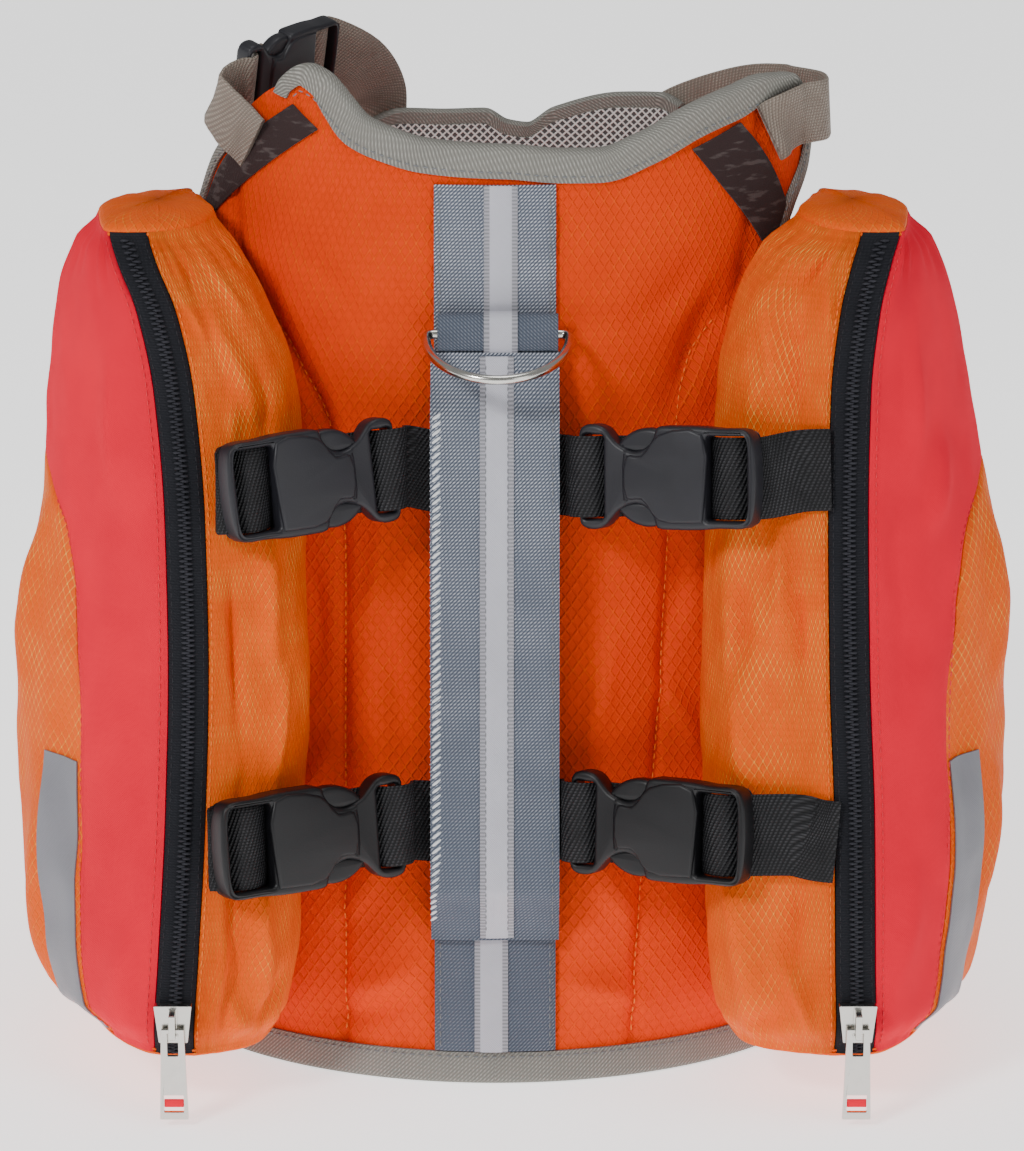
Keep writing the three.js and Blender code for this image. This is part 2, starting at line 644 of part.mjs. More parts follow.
// A side-release buckle between the strap end of its plug and the strap end of its socket
function buckle(name, from, to, across, girth = 1) {
  const along = to.clone().sub(from).normalize();
  const side = across.clone().addScaledVector(along, -across.dot(along)).normalize();
  const depth = along.clone().cross(side).normalize();
  const length = from.distanceTo(to);
  const scale = length / (BUCKLE.plugLength + BUCKLE.socketLength);
  const half = (BUCKLE.width / 2) * girth;
  const arm = half - 2.8 * girth;
  const armEnd = 20;
  const slotHalf = (WEB / 2 + 0.3) * girth;
  const outlineShape = (corners, slotFrom) => {
    const shape = new THREE.Shape(corners.map(([s, t]) => new THREE.Vector2(s * scale, t)));
    const slotTo = slotFrom + BUCKLE.slot;
    const slot = [[slotFrom, -slotHalf], [slotFrom, slotHalf], [slotTo, slotHalf], [slotTo, -slotHalf]];
    shape.holes.push(new THREE.Path(slot.map(([s, t]) => new THREE.Vector2(s * scale, t))));
    return shape;
  };
  const join = from.clone().addScaledVector(along, BUCKLE.plugLength * scale);
  const placed = (shape, thickness) => {
    const geometry = new THREE.ExtrudeGeometry(shape, { depth: thickness, bevelEnabled: false });
    geometry.translate(0, 0, -thickness / 2);
    const frame = new THREE.Matrix4().makeBasis(along, side, depth);
    frame.setPosition(join);
    geometry.applyMatrix4(frame);
    return geometry;
  };
  const end = BUCKLE.socketLength;
  const start = -BUCKLE.plugLength;
  const socket = outlineShape([
    [0, -arm], [armEnd, -arm], [armEnd, -half], [end - 2, -half], [end, -half + 2],
    [end, half - 2], [end - 2, half], [armEnd, half], [armEnd, arm], [0, arm],
  ], end - 2.5 - BUCKLE.slot);
  const plug = outlineShape([
    [start, -half + 2], [start + 2, -half + 1], [-9, -half + 1], [-5, -half],
    [armEnd - 0.4, -half], [armEnd - 0.4, -arm - SEAM], [-0.4, -arm - SEAM],
    [-0.4, arm + SEAM], [armEnd - 0.4, arm + SEAM], [armEnd - 0.4, half],
    [-5, half], [-9, half - 1], [start + 2, half - 1], [start, half - 2],
  ], start + 2.5);
  addPiece(`${name}_plug`, 'plastic', placed(plug, BUCKLE.plugDepth));
  addPiece(`${name}_socket`, 'plastic', placed(socket, BUCKLE.socketDepth));
  return { along, side, depth };
}

const point = (x, y, z) => new THREE.Vector3(x, y, z);
const upward = point(0, 0.2, 1);
const STRAP_LIFT = 8.4;
const BUCKLE_PLACES = [
  {
    name: 'buckle_upper_right', bagSlope: 0.33, tailFoot: 197,
    x0: 27.2, y0: -67, z0: 190.8, x1: 79.6, y1: -92.5, z1: 196.5,
  },
  {
    name: 'buckle_upper_left', bagSlope: 0.33,
    x0: -31.5, y0: -67, z0: 193.4, x1: -81, y1: -97, z1: 192.8,
  },
  {
    name: 'buckle_lower_right', bagSlope: 0.24, tailFoot: 87.5,
    x0: 24.8, y0: -88.2, z0: 85.8, x1: 76.9, y1: -117.5, z1: 90.6,
  },
  {
    name: 'buckle_lower_left', bagSlope: 0.24,
    x0: -29.6, y0: -90.5, z0: 85.8, x1: -83.5, y1: -124.8, z1: 88.4,
  },
];

function buildStraps() {
  for (const place of BUCKLE_PLACES) {
    buckle(place.name, point(place.x0, place.y0, place.z0), point(place.x1, place.y1, place.z1), upward);
  }
  const [upperRight, upperLeft, lowerRight, lowerLeft] = BUCKLE_PLACES;
  const pairs = [['strap_upper', upperRight, upperLeft], ['strap_lower', lowerRight, lowerLeft]];
  for (const [name, right, left] of pairs) {
    const z = (right.z0 + left.z0) / 2 - 2;
    const middle = onBack(0, z, STRAP_LIFT);
    const row = (x, y, height) => ({ x, y, z: height, wx: 0, wy: 0.2, wz: 1 });
    const inward = (place, back) => {
      const along = point(place.x1 - place.x0, place.y1 - place.y0, place.z1 - place.z0).normalize();
      return point(place.x0, place.y0, place.z0).addScaledVector(along, -back);
    };
    const end = (place, back) => {
      const p = inward(place, back);
      return row(p.x, p.y, p.z);
    };
    addPiece(name, 'webbing', ribbon([
      end(left, 0.5),
      end(left, 4),
      row(-13, middle.y - 0.3, z),
      row(13, middle.y - 0.3, z),
      end(right, 4),
      end(right, 0.5),
    ], WEB, WEB_WALL, 20));
  }
}

// One saddlebag: its section at each height is a smooth curve from the inner foot round to the outer foot
function bagCurve(rows, sideSign, z) {
  const names = ['inner', 'zip', 'crown', 'outer', 'side', 'foot'];
  const [inner, zip, crown, outer, side, foot] = names.map((name) => column(rows, 'z', z, name));
  const lift = mix(BAG_LIFT, BAG_LIFT_TOP, ease(z, 186, 206));
  const innerFoot = onTube(sideSign * Math.abs(turnAt(sideSign * (inner + 2), z)), z, lift);
  const outerFoot = onTube(sideSign * foot, z, lift);
  const plan = (x, y) => point(sideSign * x, y, z);
  const points = [
    innerFoot,
    plan(inner, mix(innerFoot.y, crown, 0.45)),
    plan(inner + 5.5, mix(innerFoot.y, crown, 0.82)),
    plan(mix(inner, zip, 0.55), crown + 1.8),
    plan(zip - ZIP_HALF, crown),
    plan(zip + ZIP_HALF, crown + 1),
    plan(mix(zip + ZIP_HALF, outer, 0.45), mix(crown, side, 0.22)),
    plan(mix(zip + ZIP_HALF, outer, 0.85), mix(crown, side, 0.62)),
    plan(outer, side),
    plan(mix(outer, Math.abs(outerFoot.x), 0.28), mix(side, outerFoot.y, 0.62)),
    outerFoot,
  ];
  return { curve: new THREE.CatmullRomCurve3(points, false, 'centripetal'), lift, innerFoot, outerFoot };
}

const ZIP_FROM = 0.4;
const ZIP_TO = 0.5;
const JOIN = 0.0016;

// A point of a bag's shell, lifted level out of it
function bagSurface(rows, sideSign) {
  const kept = new Map();
  return (t, z, lift) => {
    if (!kept.has(z)) kept.set(z, bagCurve(rows, sideSign, z).curve);
    const curve = kept.get(z);
    const along = curve.getTangent(t);
    return curve.getPoint(t).add(point(-along.y, along.x, 0).normalize().multiplyScalar(-sideSign * lift));
  };
}

// The seam between the red panel and the outer side panel: place along the section at each height
const RED_SEAM = [
  { z: 20, at: 0.625 },
  { z: 105, at: 0.625 },
  { z: 150, at: 0.64 },
  { z: 172, at: 0.675 },
  { z: 184, at: 0.74 },
  { z: 192, at: 0.83 },
  { z: 197, at: 0.92 },
  { z: 200, at: 0.99 },
];

function buildBag(side) {
  const sideSign = side === 'left' ? -1 : 1;
  const rows = side === 'left' ? BAG_LEFT : BAG_RIGHT;
  const surface = bagSurface(rows, sideSign);
  const redAt = (z) => column(RED_SEAM, 'z', z, 'at');
  const strip = (from, to) => (u, z, lift) => surface(mix(from(z), to(z), u), z, lift);
  const fixed = (value) => () => value;
  const bagWall = (name, finish, from, to, steps, heights = BAG_ROWS) => (
    addPiece(
      `${name}_${side}`, finish, wall(strip(from, to), stations(0, 1, steps), heights, -BAG_WALL, 0),
    ));
  const seamTop = SEAM_ROWS.at(-1);
  bagWall('bag_inner', 'bagOrange', fixed(0), fixed(ZIP_FROM - JOIN), 7);
  bagWall('bag_zip', 'zip', fixed(ZIP_FROM + JOIN), fixed(ZIP_TO - JOIN), 2);
  const redRows = SEAM_ROWS.concat(200.6, BAG_ROWS.filter((z) => z > 201));
  bagWall('bag_red', 'red', fixed(ZIP_TO + JOIN), (z) => (z > seamTop ? 1 : redAt(z) - JOIN), 8, redRows);
  const sideFrom = (z) => redAt(z) + JOIN;
  const sideColumns = [0, ...TAPE_COLUMNS, 0.3, 0.48, 0.65, 0.83, 1];
  const sideWall = strip(sideFrom, fixed(1));
  addPiece(`bag_side_${side}`, 'bagOrange', wall(sideWall, sideColumns, SEAM_ROWS, -BAG_WALL, 0));
  const tapeRows = SEAM_ROWS.filter((z) => z <= TAPE_TOP);
  addPiece(`bag_reflective_${side}`, 'reflective', wall(sideWall, TAPE_COLUMNS, tapeRows, SEAM, 0.9));
  const back = (u, z, lift) => {
    const { lift: base, innerFoot } = bagCurve(rows, sideSign, z);
    const from = Math.abs(turnAt(innerFoot.x, z)) + 2.5;
    const to = column(rows, 'z', z, 'foot') - 2.5;
    return onTube(sideSign * mix(from, to, u), z, base + lift);
  };
  addPiece(`bag_back_${side}`, 'bagOrange', wall(back, stations(0, 1, 6), BAG_ROWS, -0.4, 0.4));
  const ends = [['bag_top', BAG_ROWS.at(-1), 0.3, 1.5], ['bag_gusset', BAG_ROWS[0], -1.5, -0.3]];
  for (const [name, z, from, to] of ends) {
    const shell = stations(0, 1, 20).map((t) => surface(t, z, 0));
    const { lift, innerFoot } = bagCurve(rows, sideSign, z);
    const feet = [column(rows, 'z', z, 'foot'), Math.abs(turnAt(innerFoot.x, z))];
    const turns = stations(feet[0], feet[1], 7).slice(1, -1);
    const onBody = turns.map((turn) => onTube(sideSign * turn, z, lift));
    const loop = shell.concat(onBody);
    const rings = [from, to].map((rise) => loop.map((p) => point(p.x, p.y, z + rise)));
    addPiece(`${name}_${side}`, 'bagOrange', skin(rings, false));
  }
  return surface;
}

// Joins overlapping closed shapes into one solid
function joined(geometries) {
  const solids = geometries.map((geometry) => {
    const bare = geometry.index ? geometry.clone() : geometry;
    bare.deleteAttribute('normal');
    bare.deleteAttribute('uv');
    const merged = mergeVertices(bare, 1e-3);
    return new wasm.Manifold(new wasm.Mesh({
      numProp: 3,
      vertProperties: new Float32Array(merged.attributes.position.array),
      triVerts: new Uint32Array(merged.index.array),
    }));
  });
  const mesh = solids.reduce((sum, solid) => sum.add(solid)).getMesh();
  const geometry = new THREE.BufferGeometry();
  geometry.setAttribute('position', new THREE.Float32BufferAttribute(mesh.vertProperties, 3));
  geometry.setIndex(Array.from(mesh.triVerts));
  geometry.computeVertexNormals();
  return geometry;
}

const outline = (corners) => new THREE.Shape(corners.map(([a, b]) => new THREE.Vector2(a, b)));
const windowPath = (x, low, high) => new THREE.Path([[-x, low], [-x, high], [x, high], [x, low]]
  .map(([a, b]) => new THREE.Vector2(a, b)));

// The zip's slider, with the bridge that carries the pull, and the pull hanging from it
function buildZipHardware(side, surface) {
  const rows = side === 'left' ? BAG_LEFT : BAG_RIGHT;
  const sideSign = side === 'left' ? -1 : 1;
  const x = sideSign * column(rows, 'z', SLIDER.z, 'zip');
  const near = [SLIDER.z - SLIDER.half, SLIDER.z, SLIDER.z + SLIDER.half].flatMap((z) => (
    stations(ZIP_FROM, ZIP_TO, 4).map((t) => surface(t, z, 0).y)));
  const face = Math.min(...near) - SEAM;
  const { half, plate, bridge, bridgeWall } = SLIDER;
  const trapezium = outline([[-4.4, -half], [4.4, -half], [5.8, half], [-5.8, half]]);
  const body = new THREE.ExtrudeGeometry(trapezium, { depth: plate, bevelEnabled: false });
  body.applyMatrix4(new THREE.Matrix4().makeBasis(point(1, 0, 0), point(0, 0, 1), point(0, -1, 0)));
  const crest = -plate - bridge;
  const arch = outline([[-0.4, half - 0.6], [crest, half - 1.6], [crest, -3.5], [-0.4, -3.5]]);
  const reach = [crest + bridgeWall, -plate - 0.3];
  arch.holes.push(new THREE.Path([[reach[0], -2.4], [reach[1], -2.4], [reach[1], 3.2], [reach[0], 3.2]]
    .map(([a, b]) => new THREE.Vector2(a, b))));
  const rib = new THREE.ExtrudeGeometry(arch, { depth: 2, bevelEnabled: false });
  rib.translate(0, 0, -1);
  rib.applyMatrix4(new THREE.Matrix4().makeBasis(point(0, 1, 0), point(0, 0, 1), point(1, 0, 0)));
  const slider = joined([body, rib]);
  slider.translate(x, face, SLIDER.z);
  addPiece(`zip_slider_${side}`, 'nickel', slider);

  const pull = outline([[-3.5, 0.6], [-4.4, 0.6 - PULL_LENGTH], [4.4, 0.6 - PULL_LENGTH], [3.5, 0.6]]);
  pull.holes.push(windowPath(1.7, -8, -0.6));
  pull.holes.push(windowPath(3.1, 3 - PULL_LENGTH, 8.6 - PULL_LENGTH));
  const tab = new THREE.ExtrudeGeometry(pull, { depth: PULL_WALL, bevelEnabled: false });
  tab.translate(0, 0, -PULL_WALL / 2);
  tab.applyMatrix4(new THREE.Matrix4().makeBasis(point(1, 0, 0), point(0, 0, 1), point(0, -1, 0)));
  tab.translate(x, face - plate - (bridge - bridgeWall) / 2 - 0.15, SLIDER.z - 1.35);
  addPiece(`zip_pull_${side}`, 'nickel', tab);
}

// The webbing tails that hold the sockets on the bags: on the right they run on to the zip
function buildTails(bags) {
  const front = (side, share, z, lift) => bags[side](share, z, lift);
  for (const place of BUCKLE_PLACES) {
    const side = place.x0 < 0 ? 'left' : 'right';
    const along = point(place.x1 - place.x0, place.y1 - place.y0, place.z1 - place.z0).normalize();
    const end = point(place.x1, place.y1, place.z1);
    const row = (p) => ({ x: p.x, y: p.y, z: p.z, wx: 0, wy: place.bagSlope, wz: 1 });
    const name = place.name.replace('buckle', 'bag_tail');
    if (side === 'right') {
      const foot = place.tailFoot;
      const level = (share) => mix(place.z1, foot, share);
      const rows = [
        row(end.clone().addScaledVector(along, 0.5)),
        row(end.clone().addScaledVector(along, 2.4)),
        row(front(side, 0.335, level(0.5), 2.4)),
        row(front(side, 0.365, level(0.8), 2)),
        row(front(side, ZIP_FROM - 0.004, foot, 1.7)),
      ];
      addPiece(name, 'webbing', ribbon(rows, WEB, WEB_WALL, 8));
    } else {
      const rows = [0.21, 0.25, 0.29, 0.32].map((share) => row(front(side, share, place.z1 - 1, 1.6)));
      addPiece(name, 'webbing', ribbon(rows, WEB, WEB_WALL, 6));
    }
  }
}

// The webbing over each shoulder to the chest panel, and the buckle in the left one
function buildShoulders() {
  const row = (p, w) => ({ x: p.x, y: p.y, z: p.z, wx: w[0], wy: w[1], wz: w[2] });
  const plugEnd = point(-81.7, 11.7, 300.7);
  const along = point(0.66, 0.74, 0.131).normalize();
  const socketEnd = plugEnd.clone().addScaledVector(along, SHOULDER_BUCKLE);
  const down = [-0.133, 0.287, -0.948];
  buckle('buckle_shoulder', plugEnd, socketEnd, point(...down), 0.78);
  const before = (distance) => plugEnd.clone().addScaledVector(along, -distance);
  const beyond = (distance) => socketEnd.clone().addScaledVector(along, distance);
  addPiece('shoulder_webbing_left', 'shoulderWebbing', ribbon([
    row(onTube(-58.5, 286.5, 3.8), [-14, 13, -11]),
    row(onTube(-64, 289.5, 4.6), [-13, 12, -12]),
    row(point(-88, 2.2, 296.8), [-7, 10, -17]),
    row(before(2.2), down),
  ], SHOULDER_WEB, WEB_WALL, 10));
  addPiece('chest_webbing_left', 'shoulderWebbing', ribbon([
    row(beyond(4.8), down),
    row(point(-48, 50.8, 304.8), [-0.25, 0.1, -0.95]),
    row(point(-44.4, 59, 299), [-0.6, -0.1, -0.78]),
    row(onTube(205.5, 287.5, 3.5), [-0.92, -0.2, -0.33]),
    row(onTube(204.5, 279.5, 6.2), [-0.97, -0.24, 0]),
    row(onTube(203.5, 270, 5.2), [-0.97, -0.24, 0]),
  ], SHOULDER_WEB, WEB_WALL, 16));
  addPiece('shoulder_webbing_right', 'shoulderWebbing', ribbon([
    row(onTube(58.5, 288.5, 2.6), [-13, -13, -11.5]),
    row(onTube(67, 291, 3.2), [-10, -10, -14]),
    row(point(105.5, 9, 292), [0, -3, -19]),
    row(point(105.5, 24, 292.5), [2, 2, -19]),
    row(point(95, 40, 292), [0, 0, -1]),
    row(point(82, 56, 289), [0, 0, -1]),
    row(onTube(143, 281, 4), [0, 0, -1]),
    row(onTube(149, 275, 2.9), [0, 0, -1]),
    row(onTube(156, 271, 2.7), [0, 0, -1]),
  ], SHOULDER_WEB, WEB_WALL, 22));
}

buildBackPanel();
buildChest();
buildTapes();
buildShoulderBands();
buildStripAndHandle();
buildRingLoop();
buildRing();
buildStraps();
buildShoulders();
const bags = { left: buildBag('left'), right: buildBag('right') };
buildTails(bags);
for (const side of ['left', 'right']) buildZipHardware(side, bags[side]);

export default group;
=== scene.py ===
import math

import bmesh
import bpy
from bpy.props import FloatProperty, FloatVectorProperty, PointerProperty
from mathutils import Matrix, Vector, noise


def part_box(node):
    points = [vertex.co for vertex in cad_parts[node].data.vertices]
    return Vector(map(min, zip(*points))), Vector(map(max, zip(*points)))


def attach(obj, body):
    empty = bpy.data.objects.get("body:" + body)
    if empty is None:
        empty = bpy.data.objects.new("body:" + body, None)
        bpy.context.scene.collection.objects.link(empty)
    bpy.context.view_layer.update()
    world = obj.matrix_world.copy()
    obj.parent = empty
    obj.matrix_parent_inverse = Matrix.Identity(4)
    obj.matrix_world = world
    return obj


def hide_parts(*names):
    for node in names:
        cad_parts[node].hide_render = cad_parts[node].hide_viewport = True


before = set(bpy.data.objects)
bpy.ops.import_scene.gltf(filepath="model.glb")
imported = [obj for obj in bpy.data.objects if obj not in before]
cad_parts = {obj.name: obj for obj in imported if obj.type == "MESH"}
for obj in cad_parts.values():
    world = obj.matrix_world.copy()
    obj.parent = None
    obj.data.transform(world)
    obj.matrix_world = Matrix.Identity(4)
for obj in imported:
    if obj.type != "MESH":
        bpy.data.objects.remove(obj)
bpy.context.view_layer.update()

bl_info = {
    "name": "Dog life jacket",
    "version": (1, 0, 0),
    "blender": (4, 5, 0),
    "location": "3D View > Sidebar > Jacket",
    "description": "Dresses a packed dog life jacket with two saddlebags",
    "category": "Object",
}

# The CAD source's lengths are millimetres; Blender's are metres
MM = 0.001
BODY = "jacket"
# The tables are measured from the middle of the back; this moves them to the middle of the CAD box
TO_BOX_MIDDLE = Vector((-4.76, 20.345, 0)) * MM


# Tables and curves


def table(names, *rows):
    """Rows of numbers with named columns."""
    return [dict(zip(names.split(), row)) for row in rows]


def mix(a, b, t):
    return a + (b - a) * t


def ease(x, low, high):
    """A smooth step from 0 at low to 1 at high."""
    t = min(max((x - low) / (high - low), 0.0), 1.0)
    return t * t * (3 - 2 * t)


def spaced(low, high, steps):
    return [mix(low, high, i / steps) for i in range(steps + 1)]


def column(rows, key, at, name):
    """A smooth curve without overshoot through one column of a table."""
    last = len(rows) - 1
    if at <= rows[0][key]:
        return rows[0][name]
    if at >= rows[last][key]:
        return rows[last][name]
    i = 0
    while at > rows[i + 1][key]:
        i += 1

    def slope(k):
        return (rows[k + 1][name] - rows[k][name]) / (rows[k + 1][key] - rows[k][key])

    def tangent(k):
        if k in (0, last):
            return 0.0
        before, after = slope(k - 1), slope(k)
        return 0.0 if before * after <= 0 else 2 * before * after / (before + after)

    span = rows[i + 1][key] - rows[i][key]
    t = (at - rows[i][key]) / span
    square, cube = t * t, t * t * t
    return (
        (2 * cube - 3 * square + 1) * rows[i][name]
        + (cube - 2 * square + t) * span * tangent(i)
        + (3 * square - 2 * cube) * rows[i + 1][name]
        + (cube - square) * span * tangent(i + 1)
    )


class Spline:
    """A centripetal curve through points, as three.js draws it, cut at equal shares of its spans."""

    def __init__(self, points):
        points = [Vector(p) for p in points]
        ends = [2 * points[0] - points[1]] + points + [2 * points[-1] - points[-2]]
        self.spans = []
        for p0, p1, p2, p3 in zip(ends, ends[1:], ends[2:], ends[3:]):
            d0, d1, d2 = (max((b - a).length, 1e-6) ** 0.5 for a, b in ((p0, p1), (p1, p2), (p2, p3)))
            start = ((p1 - p0) / d0 - (p2 - p0) / (d0 + d1) + (p2 - p1) / d1) * d1
            end = ((p2 - p1) / d1 - (p3 - p1) / (d1 + d2) + (p3 - p2) / d2) * d1
            self.spans.append((p1, start, 3 * (p2 - p1) - 2 * start - end, 2 * (p1 - p2) + start + end))

    def _span(self, t):
        at = min(max(t, 0.0), 1.0) * len(self.spans)
        k = min(int(at), len(self.spans) - 1)
        return self.spans[k], at - k

    def point(self, t):
        (a, b, c, d), w = self._span(t)
        return a + (b + (c + d * w) * w) * w

    def tangent(self, t):
        (_, b, c, d), w = self._span(t)
        return (b + (2 * c + 3 * d * w) * w).normalized()


# The body tube, repeated from the CAD source

BACK_AT_HEM = -93.5
BACK_LEAN = 0.2165
CHEST_AT_HEM = 88
CHEST_LEAN = -0.053
HALF_WIDTHS = table(
    "z left right",
    (0, 112, 112), (100, 110, 110), (200, 105, 105), (246, 99, 100), (270, 93, 101), (325, 84, 101),
)
PAD = 6
PAD_EDGE = 3
SIDE_SEAM = 118
CHEST_SEAM = SIDE_SEAM + 0.3
ARMHOLE_FOOT = 172
PANEL_FOOT = 2.1
HEM_WIDTH = 9
TAPE_WALL = 1.2
TAPE_GAP = 0.25

COLLAR_EDGE = table(
    "turn z",
    (-54.3, 294), (-50.7, 303.5), (-44.5, 308), (-39, 306), (-33, 299.5), (-28, 293.5), (-21.3, 289.8),
    (-14.2, 287.2), (-5, 286), (3, 285.5), (11.5, 284.2), (18.7, 284), (27, 288.2), (37.6, 295.8),
    (46.9, 300.2), (57.1, 303.3), (68, 302.8), (76, 298),
)
LEFT_EDGE = table(
    "turn z",
    (-SIDE_SEAM, PANEL_FOOT), (-SIDE_SEAM, 60), (-SIDE_SEAM, 120), (-SIDE_SEAM, ARMHOLE_FOOT), (-112, 192),
    (-101, 209), (-90, 227), (-84, 246), (-82.5, 262), (-77, 276), (-66, 287), (-54.3, 294),
)
RIGHT_EDGE = table(
    "turn z",
    (SIDE_SEAM, PANEL_FOOT), (SIDE_SEAM, 60), (SIDE_SEAM, 120), (SIDE_SEAM, ARMHOLE_FOOT), (111, 190),
    (97, 205), (80, 218), (67, 232), (62.5, 248), (68, 263), (78, 276), (83, 288), (76, 298),
)
CHEST_RIGHT_EDGE = table(
    "turn z",
    (CHEST_SEAM, PANEL_FOOT), (CHEST_SEAM, 60), (CHEST_SEAM, 120), (CHEST_SEAM, ARMHOLE_FOOT), (122, 192),
    (129, 218), (135, 246), (139, 268), (141, 283),
)
CHEST_TOP_EDGE = table(
    "turn z",
    (141, 283), (147, 286.5), (155.8, 286), (168.6, 280.5), (174, 275), (178, 276), (182.5, 279.8),
    (190.2, 279.6), (201, 280.3), (208.8, 277),
)
CHEST_LEFT_EDGE = table(
    "turn z",
    (360 - CHEST_SEAM, PANEL_FOOT), (360 - CHEST_SEAM, 60), (360 - CHEST_SEAM, 120),
    (360 - CHEST_SEAM, ARMHOLE_FOOT), (238, 192), (230, 218), (221, 246), (213.5, 265), (208.8, 277),
)


def tube_section(turn, z):
    """A point of the tube's outer face and its level outward normal."""
    angle = math.radians(turn)
    sine, cosine = math.sin(angle), math.cos(angle)
    half = column(HALF_WIDTHS, "z", z, "left" if sine < 0 else "right")
    back = BACK_AT_HEM + BACK_LEAN * z
    chest = CHEST_AT_HEM + CHEST_LEAN * z
    deep = (chest - back) / 2
    point = Vector((half * sine, (back + chest) / 2 - deep * cosine, z))
    return point, Vector((deep * sine, -half * cosine, 0)).normalized()


def on_tube(turn, z, lift=0.0):
    point, normal = tube_section(turn, z)
    return point + normal * lift


def turn_at(x, z):
    half = column(HALF_WIDTHS, "z", z, "left" if x < 0 else "right")
    return math.degrees(math.asin(min(max(x / half, -1), 1)))


def on_back(x, z, lift=0.0):
    return on_tube(turn_at(x, z), z, lift)


def top_edge(rows):
    """An edge whose turn grows all the way, at a share of its length."""
    turns = spaced(rows[0]["turn"], rows[-1]["turn"], 240)
    points = [Vector((turn, column(rows, "turn", turn, "z"))) for turn in turns]
    reach = [0.0]
    for a, b in zip(points, points[1:]):
        reach.append(reach[-1] + (b - a).length)

    def at(share):
        goal = min(max(share, 0), 1) * reach[-1]
        k = next((i for i, value in enumerate(reach) if value >= goal), len(reach) - 1)
        k = max(k, 1)
        return points[k - 1].lerp(points[k], (goal - reach[k - 1]) / (reach[k] - reach[k - 1]))

    return at


def side_edge(rows):
    """An edge whose height grows all the way, at a share of its height."""

    def at(share):
        z = mix(rows[0]["z"], rows[-1]["z"], share)
        return Vector((column(rows, "z", z, "turn"), z))

    return at


def foot_edge(low, high):
    return lambda share: Vector((mix(low, high, share), PANEL_FOOT))


def patch(bottom, top, left, right):
    """A panel between four edges: turn and height at two shares."""
    corners = bottom(0), bottom(1), top(0), top(1)

    def at(u, v):
        edges = bottom(u) * (1 - v) + top(u) * v + left(v) * (1 - u) + right(v) * u
        inner = corners[0] * (1 - u) * (1 - v) + corners[1] * u * (1 - v)
        return edges - inner - corners[2] * (1 - u) * v - corners[3] * u * v

    return at


collar_edge = top_edge(COLLAR_EDGE)
left_edge = side_edge(LEFT_EDGE)
right_edge = side_edge(RIGHT_EDGE)
chest_top = top_edge(CHEST_TOP_EDGE)
chest_right = side_edge(CHEST_RIGHT_EDGE)
chest_left = side_edge(CHEST_LEFT_EDGE)
back_patch = patch(foot_edge(-SIDE_SEAM, SIDE_SEAM), collar_edge, left_edge, right_edge)
chest_patch = patch(foot_edge(CHEST_SEAM, 360 - CHEST_SEAM), chest_top, chest_right, chest_left)


# Creases: middle, half length, turn of the line, half width, height, and bow of the line

BACK_CREASES = table(
    "x z half turn width rise bow",
    (-36, 158, 26, 82, 3.2, 1.1, 3), (-31, 120, 34, 97, 3.6, -1.2, 4), (-40, 60, 22, 60, 4.0, 1.2, 6),
    (-33, 31, 20, 28, 3.6, 1.5, 5), (-38, 20, 22, 20, 3.0, -1.3, 5), (33, 168, 22, 100, 3.0, -1.1, 3),
    (34, 121, 26, 78, 3.4, 1.1, 3), (37, 60, 24, 118, 4.0, 1.3, 6), (36, 28, 22, 160, 3.4, 1.4, 6),
    (60, 205, 24, 70, 3.4, 1.3, 4), (-62, 214, 26, 112, 3.4, 1.3, 4), (-52, 246, 20, 140, 4.0, -1.0, 4),
    (54, 240, 20, 40, 4.0, -1.0, 4), (58, 150, 24, 84, 3.2, -1.4, 3), (-56, 140, 30, 92, 3.2, -1.4, 3),
    (-70, 232, 32, 120, 3.0, -1.8, 5), (61, 226, 28, 66, 3.0, -1.8, -5),
    (0, 262, 40, 0, 5.0, -0.7, 4), (58, 112, 20, 120, 3.0, 1.3, 4), (-54, 96, 20, 64, 3.0, 1.2, 4),
)


def prepared(folds, depth):
    """Crease rows with the direction of their line worked out once, and their height scaled."""
    ready = []
    for row in folds:
        angle = math.radians(row["turn"])
        ready.append({**row, "cos": math.cos(angle), "sin": math.sin(angle), "rise": row["rise"] * depth})
    return ready


def relief(folds, x, z):
    """The height that the creases add at a place."""
    total = 0.0
    for fold in folds:
        dx, dz = x - fold["x"], z - fold["z"]
        along = (dx * fold["cos"] + dz * fold["sin"]) / fold["half"]
        if abs(along) >= 1:
            continue
        off = dz * fold["cos"] - dx * fold["sin"] - fold["bow"] * along * along
        if abs(off) > 3 * fold["width"]:
            continue
        fade = (1 - along * along) ** 2
        total += fold["rise"] * fade * math.exp(-((off / fold["width"]) ** 2))
    return total


BACK_FOLDS = prepared(BACK_CREASES, 1.9)
CHANNELS = table(
    "z left right",
    (0, -47.5, 43), (54, -47.4, 45.7), (97, -47.4, 50.4), (160, -47.2, 54.4), (200, -51.8, 56.5),
    (220, -62, 61.3), (245, -80.9, 78), (300, -84, 84),
)
CHANNEL_PUFF = 2.4
STRIP_WIDTH = 38


def padding(u, v):
    side = min(u, 1 - u) * mix(420, 130, v)
    end = min(v, 1 - v) * 285
    return ease(min(side, end), 11, 30)


def pillow(x, z):
    """The quilted pad's height over its sewn channels and beside the centre strip."""
    channel = column(CHANNELS, "z", z, "left" if x < 0 else "right")
    inner = math.copysign(STRIP_WIDTH / 2 + 1.5, x)
    share = (x - inner) / (channel - inner)
    ends = ease(z, 10, 30) * (1 - ease(z, 225, 275))
    if share < 0:
        return -0.2 * ends
    if share < 1:
        return CHANNEL_PUFF * ends * math.sin(math.pi * share) ** 0.7
    past = abs(x - channel)
    return CHANNEL_PUFF * 0.7 * ends * (1 - math.exp(-((past / 7) ** 2)))


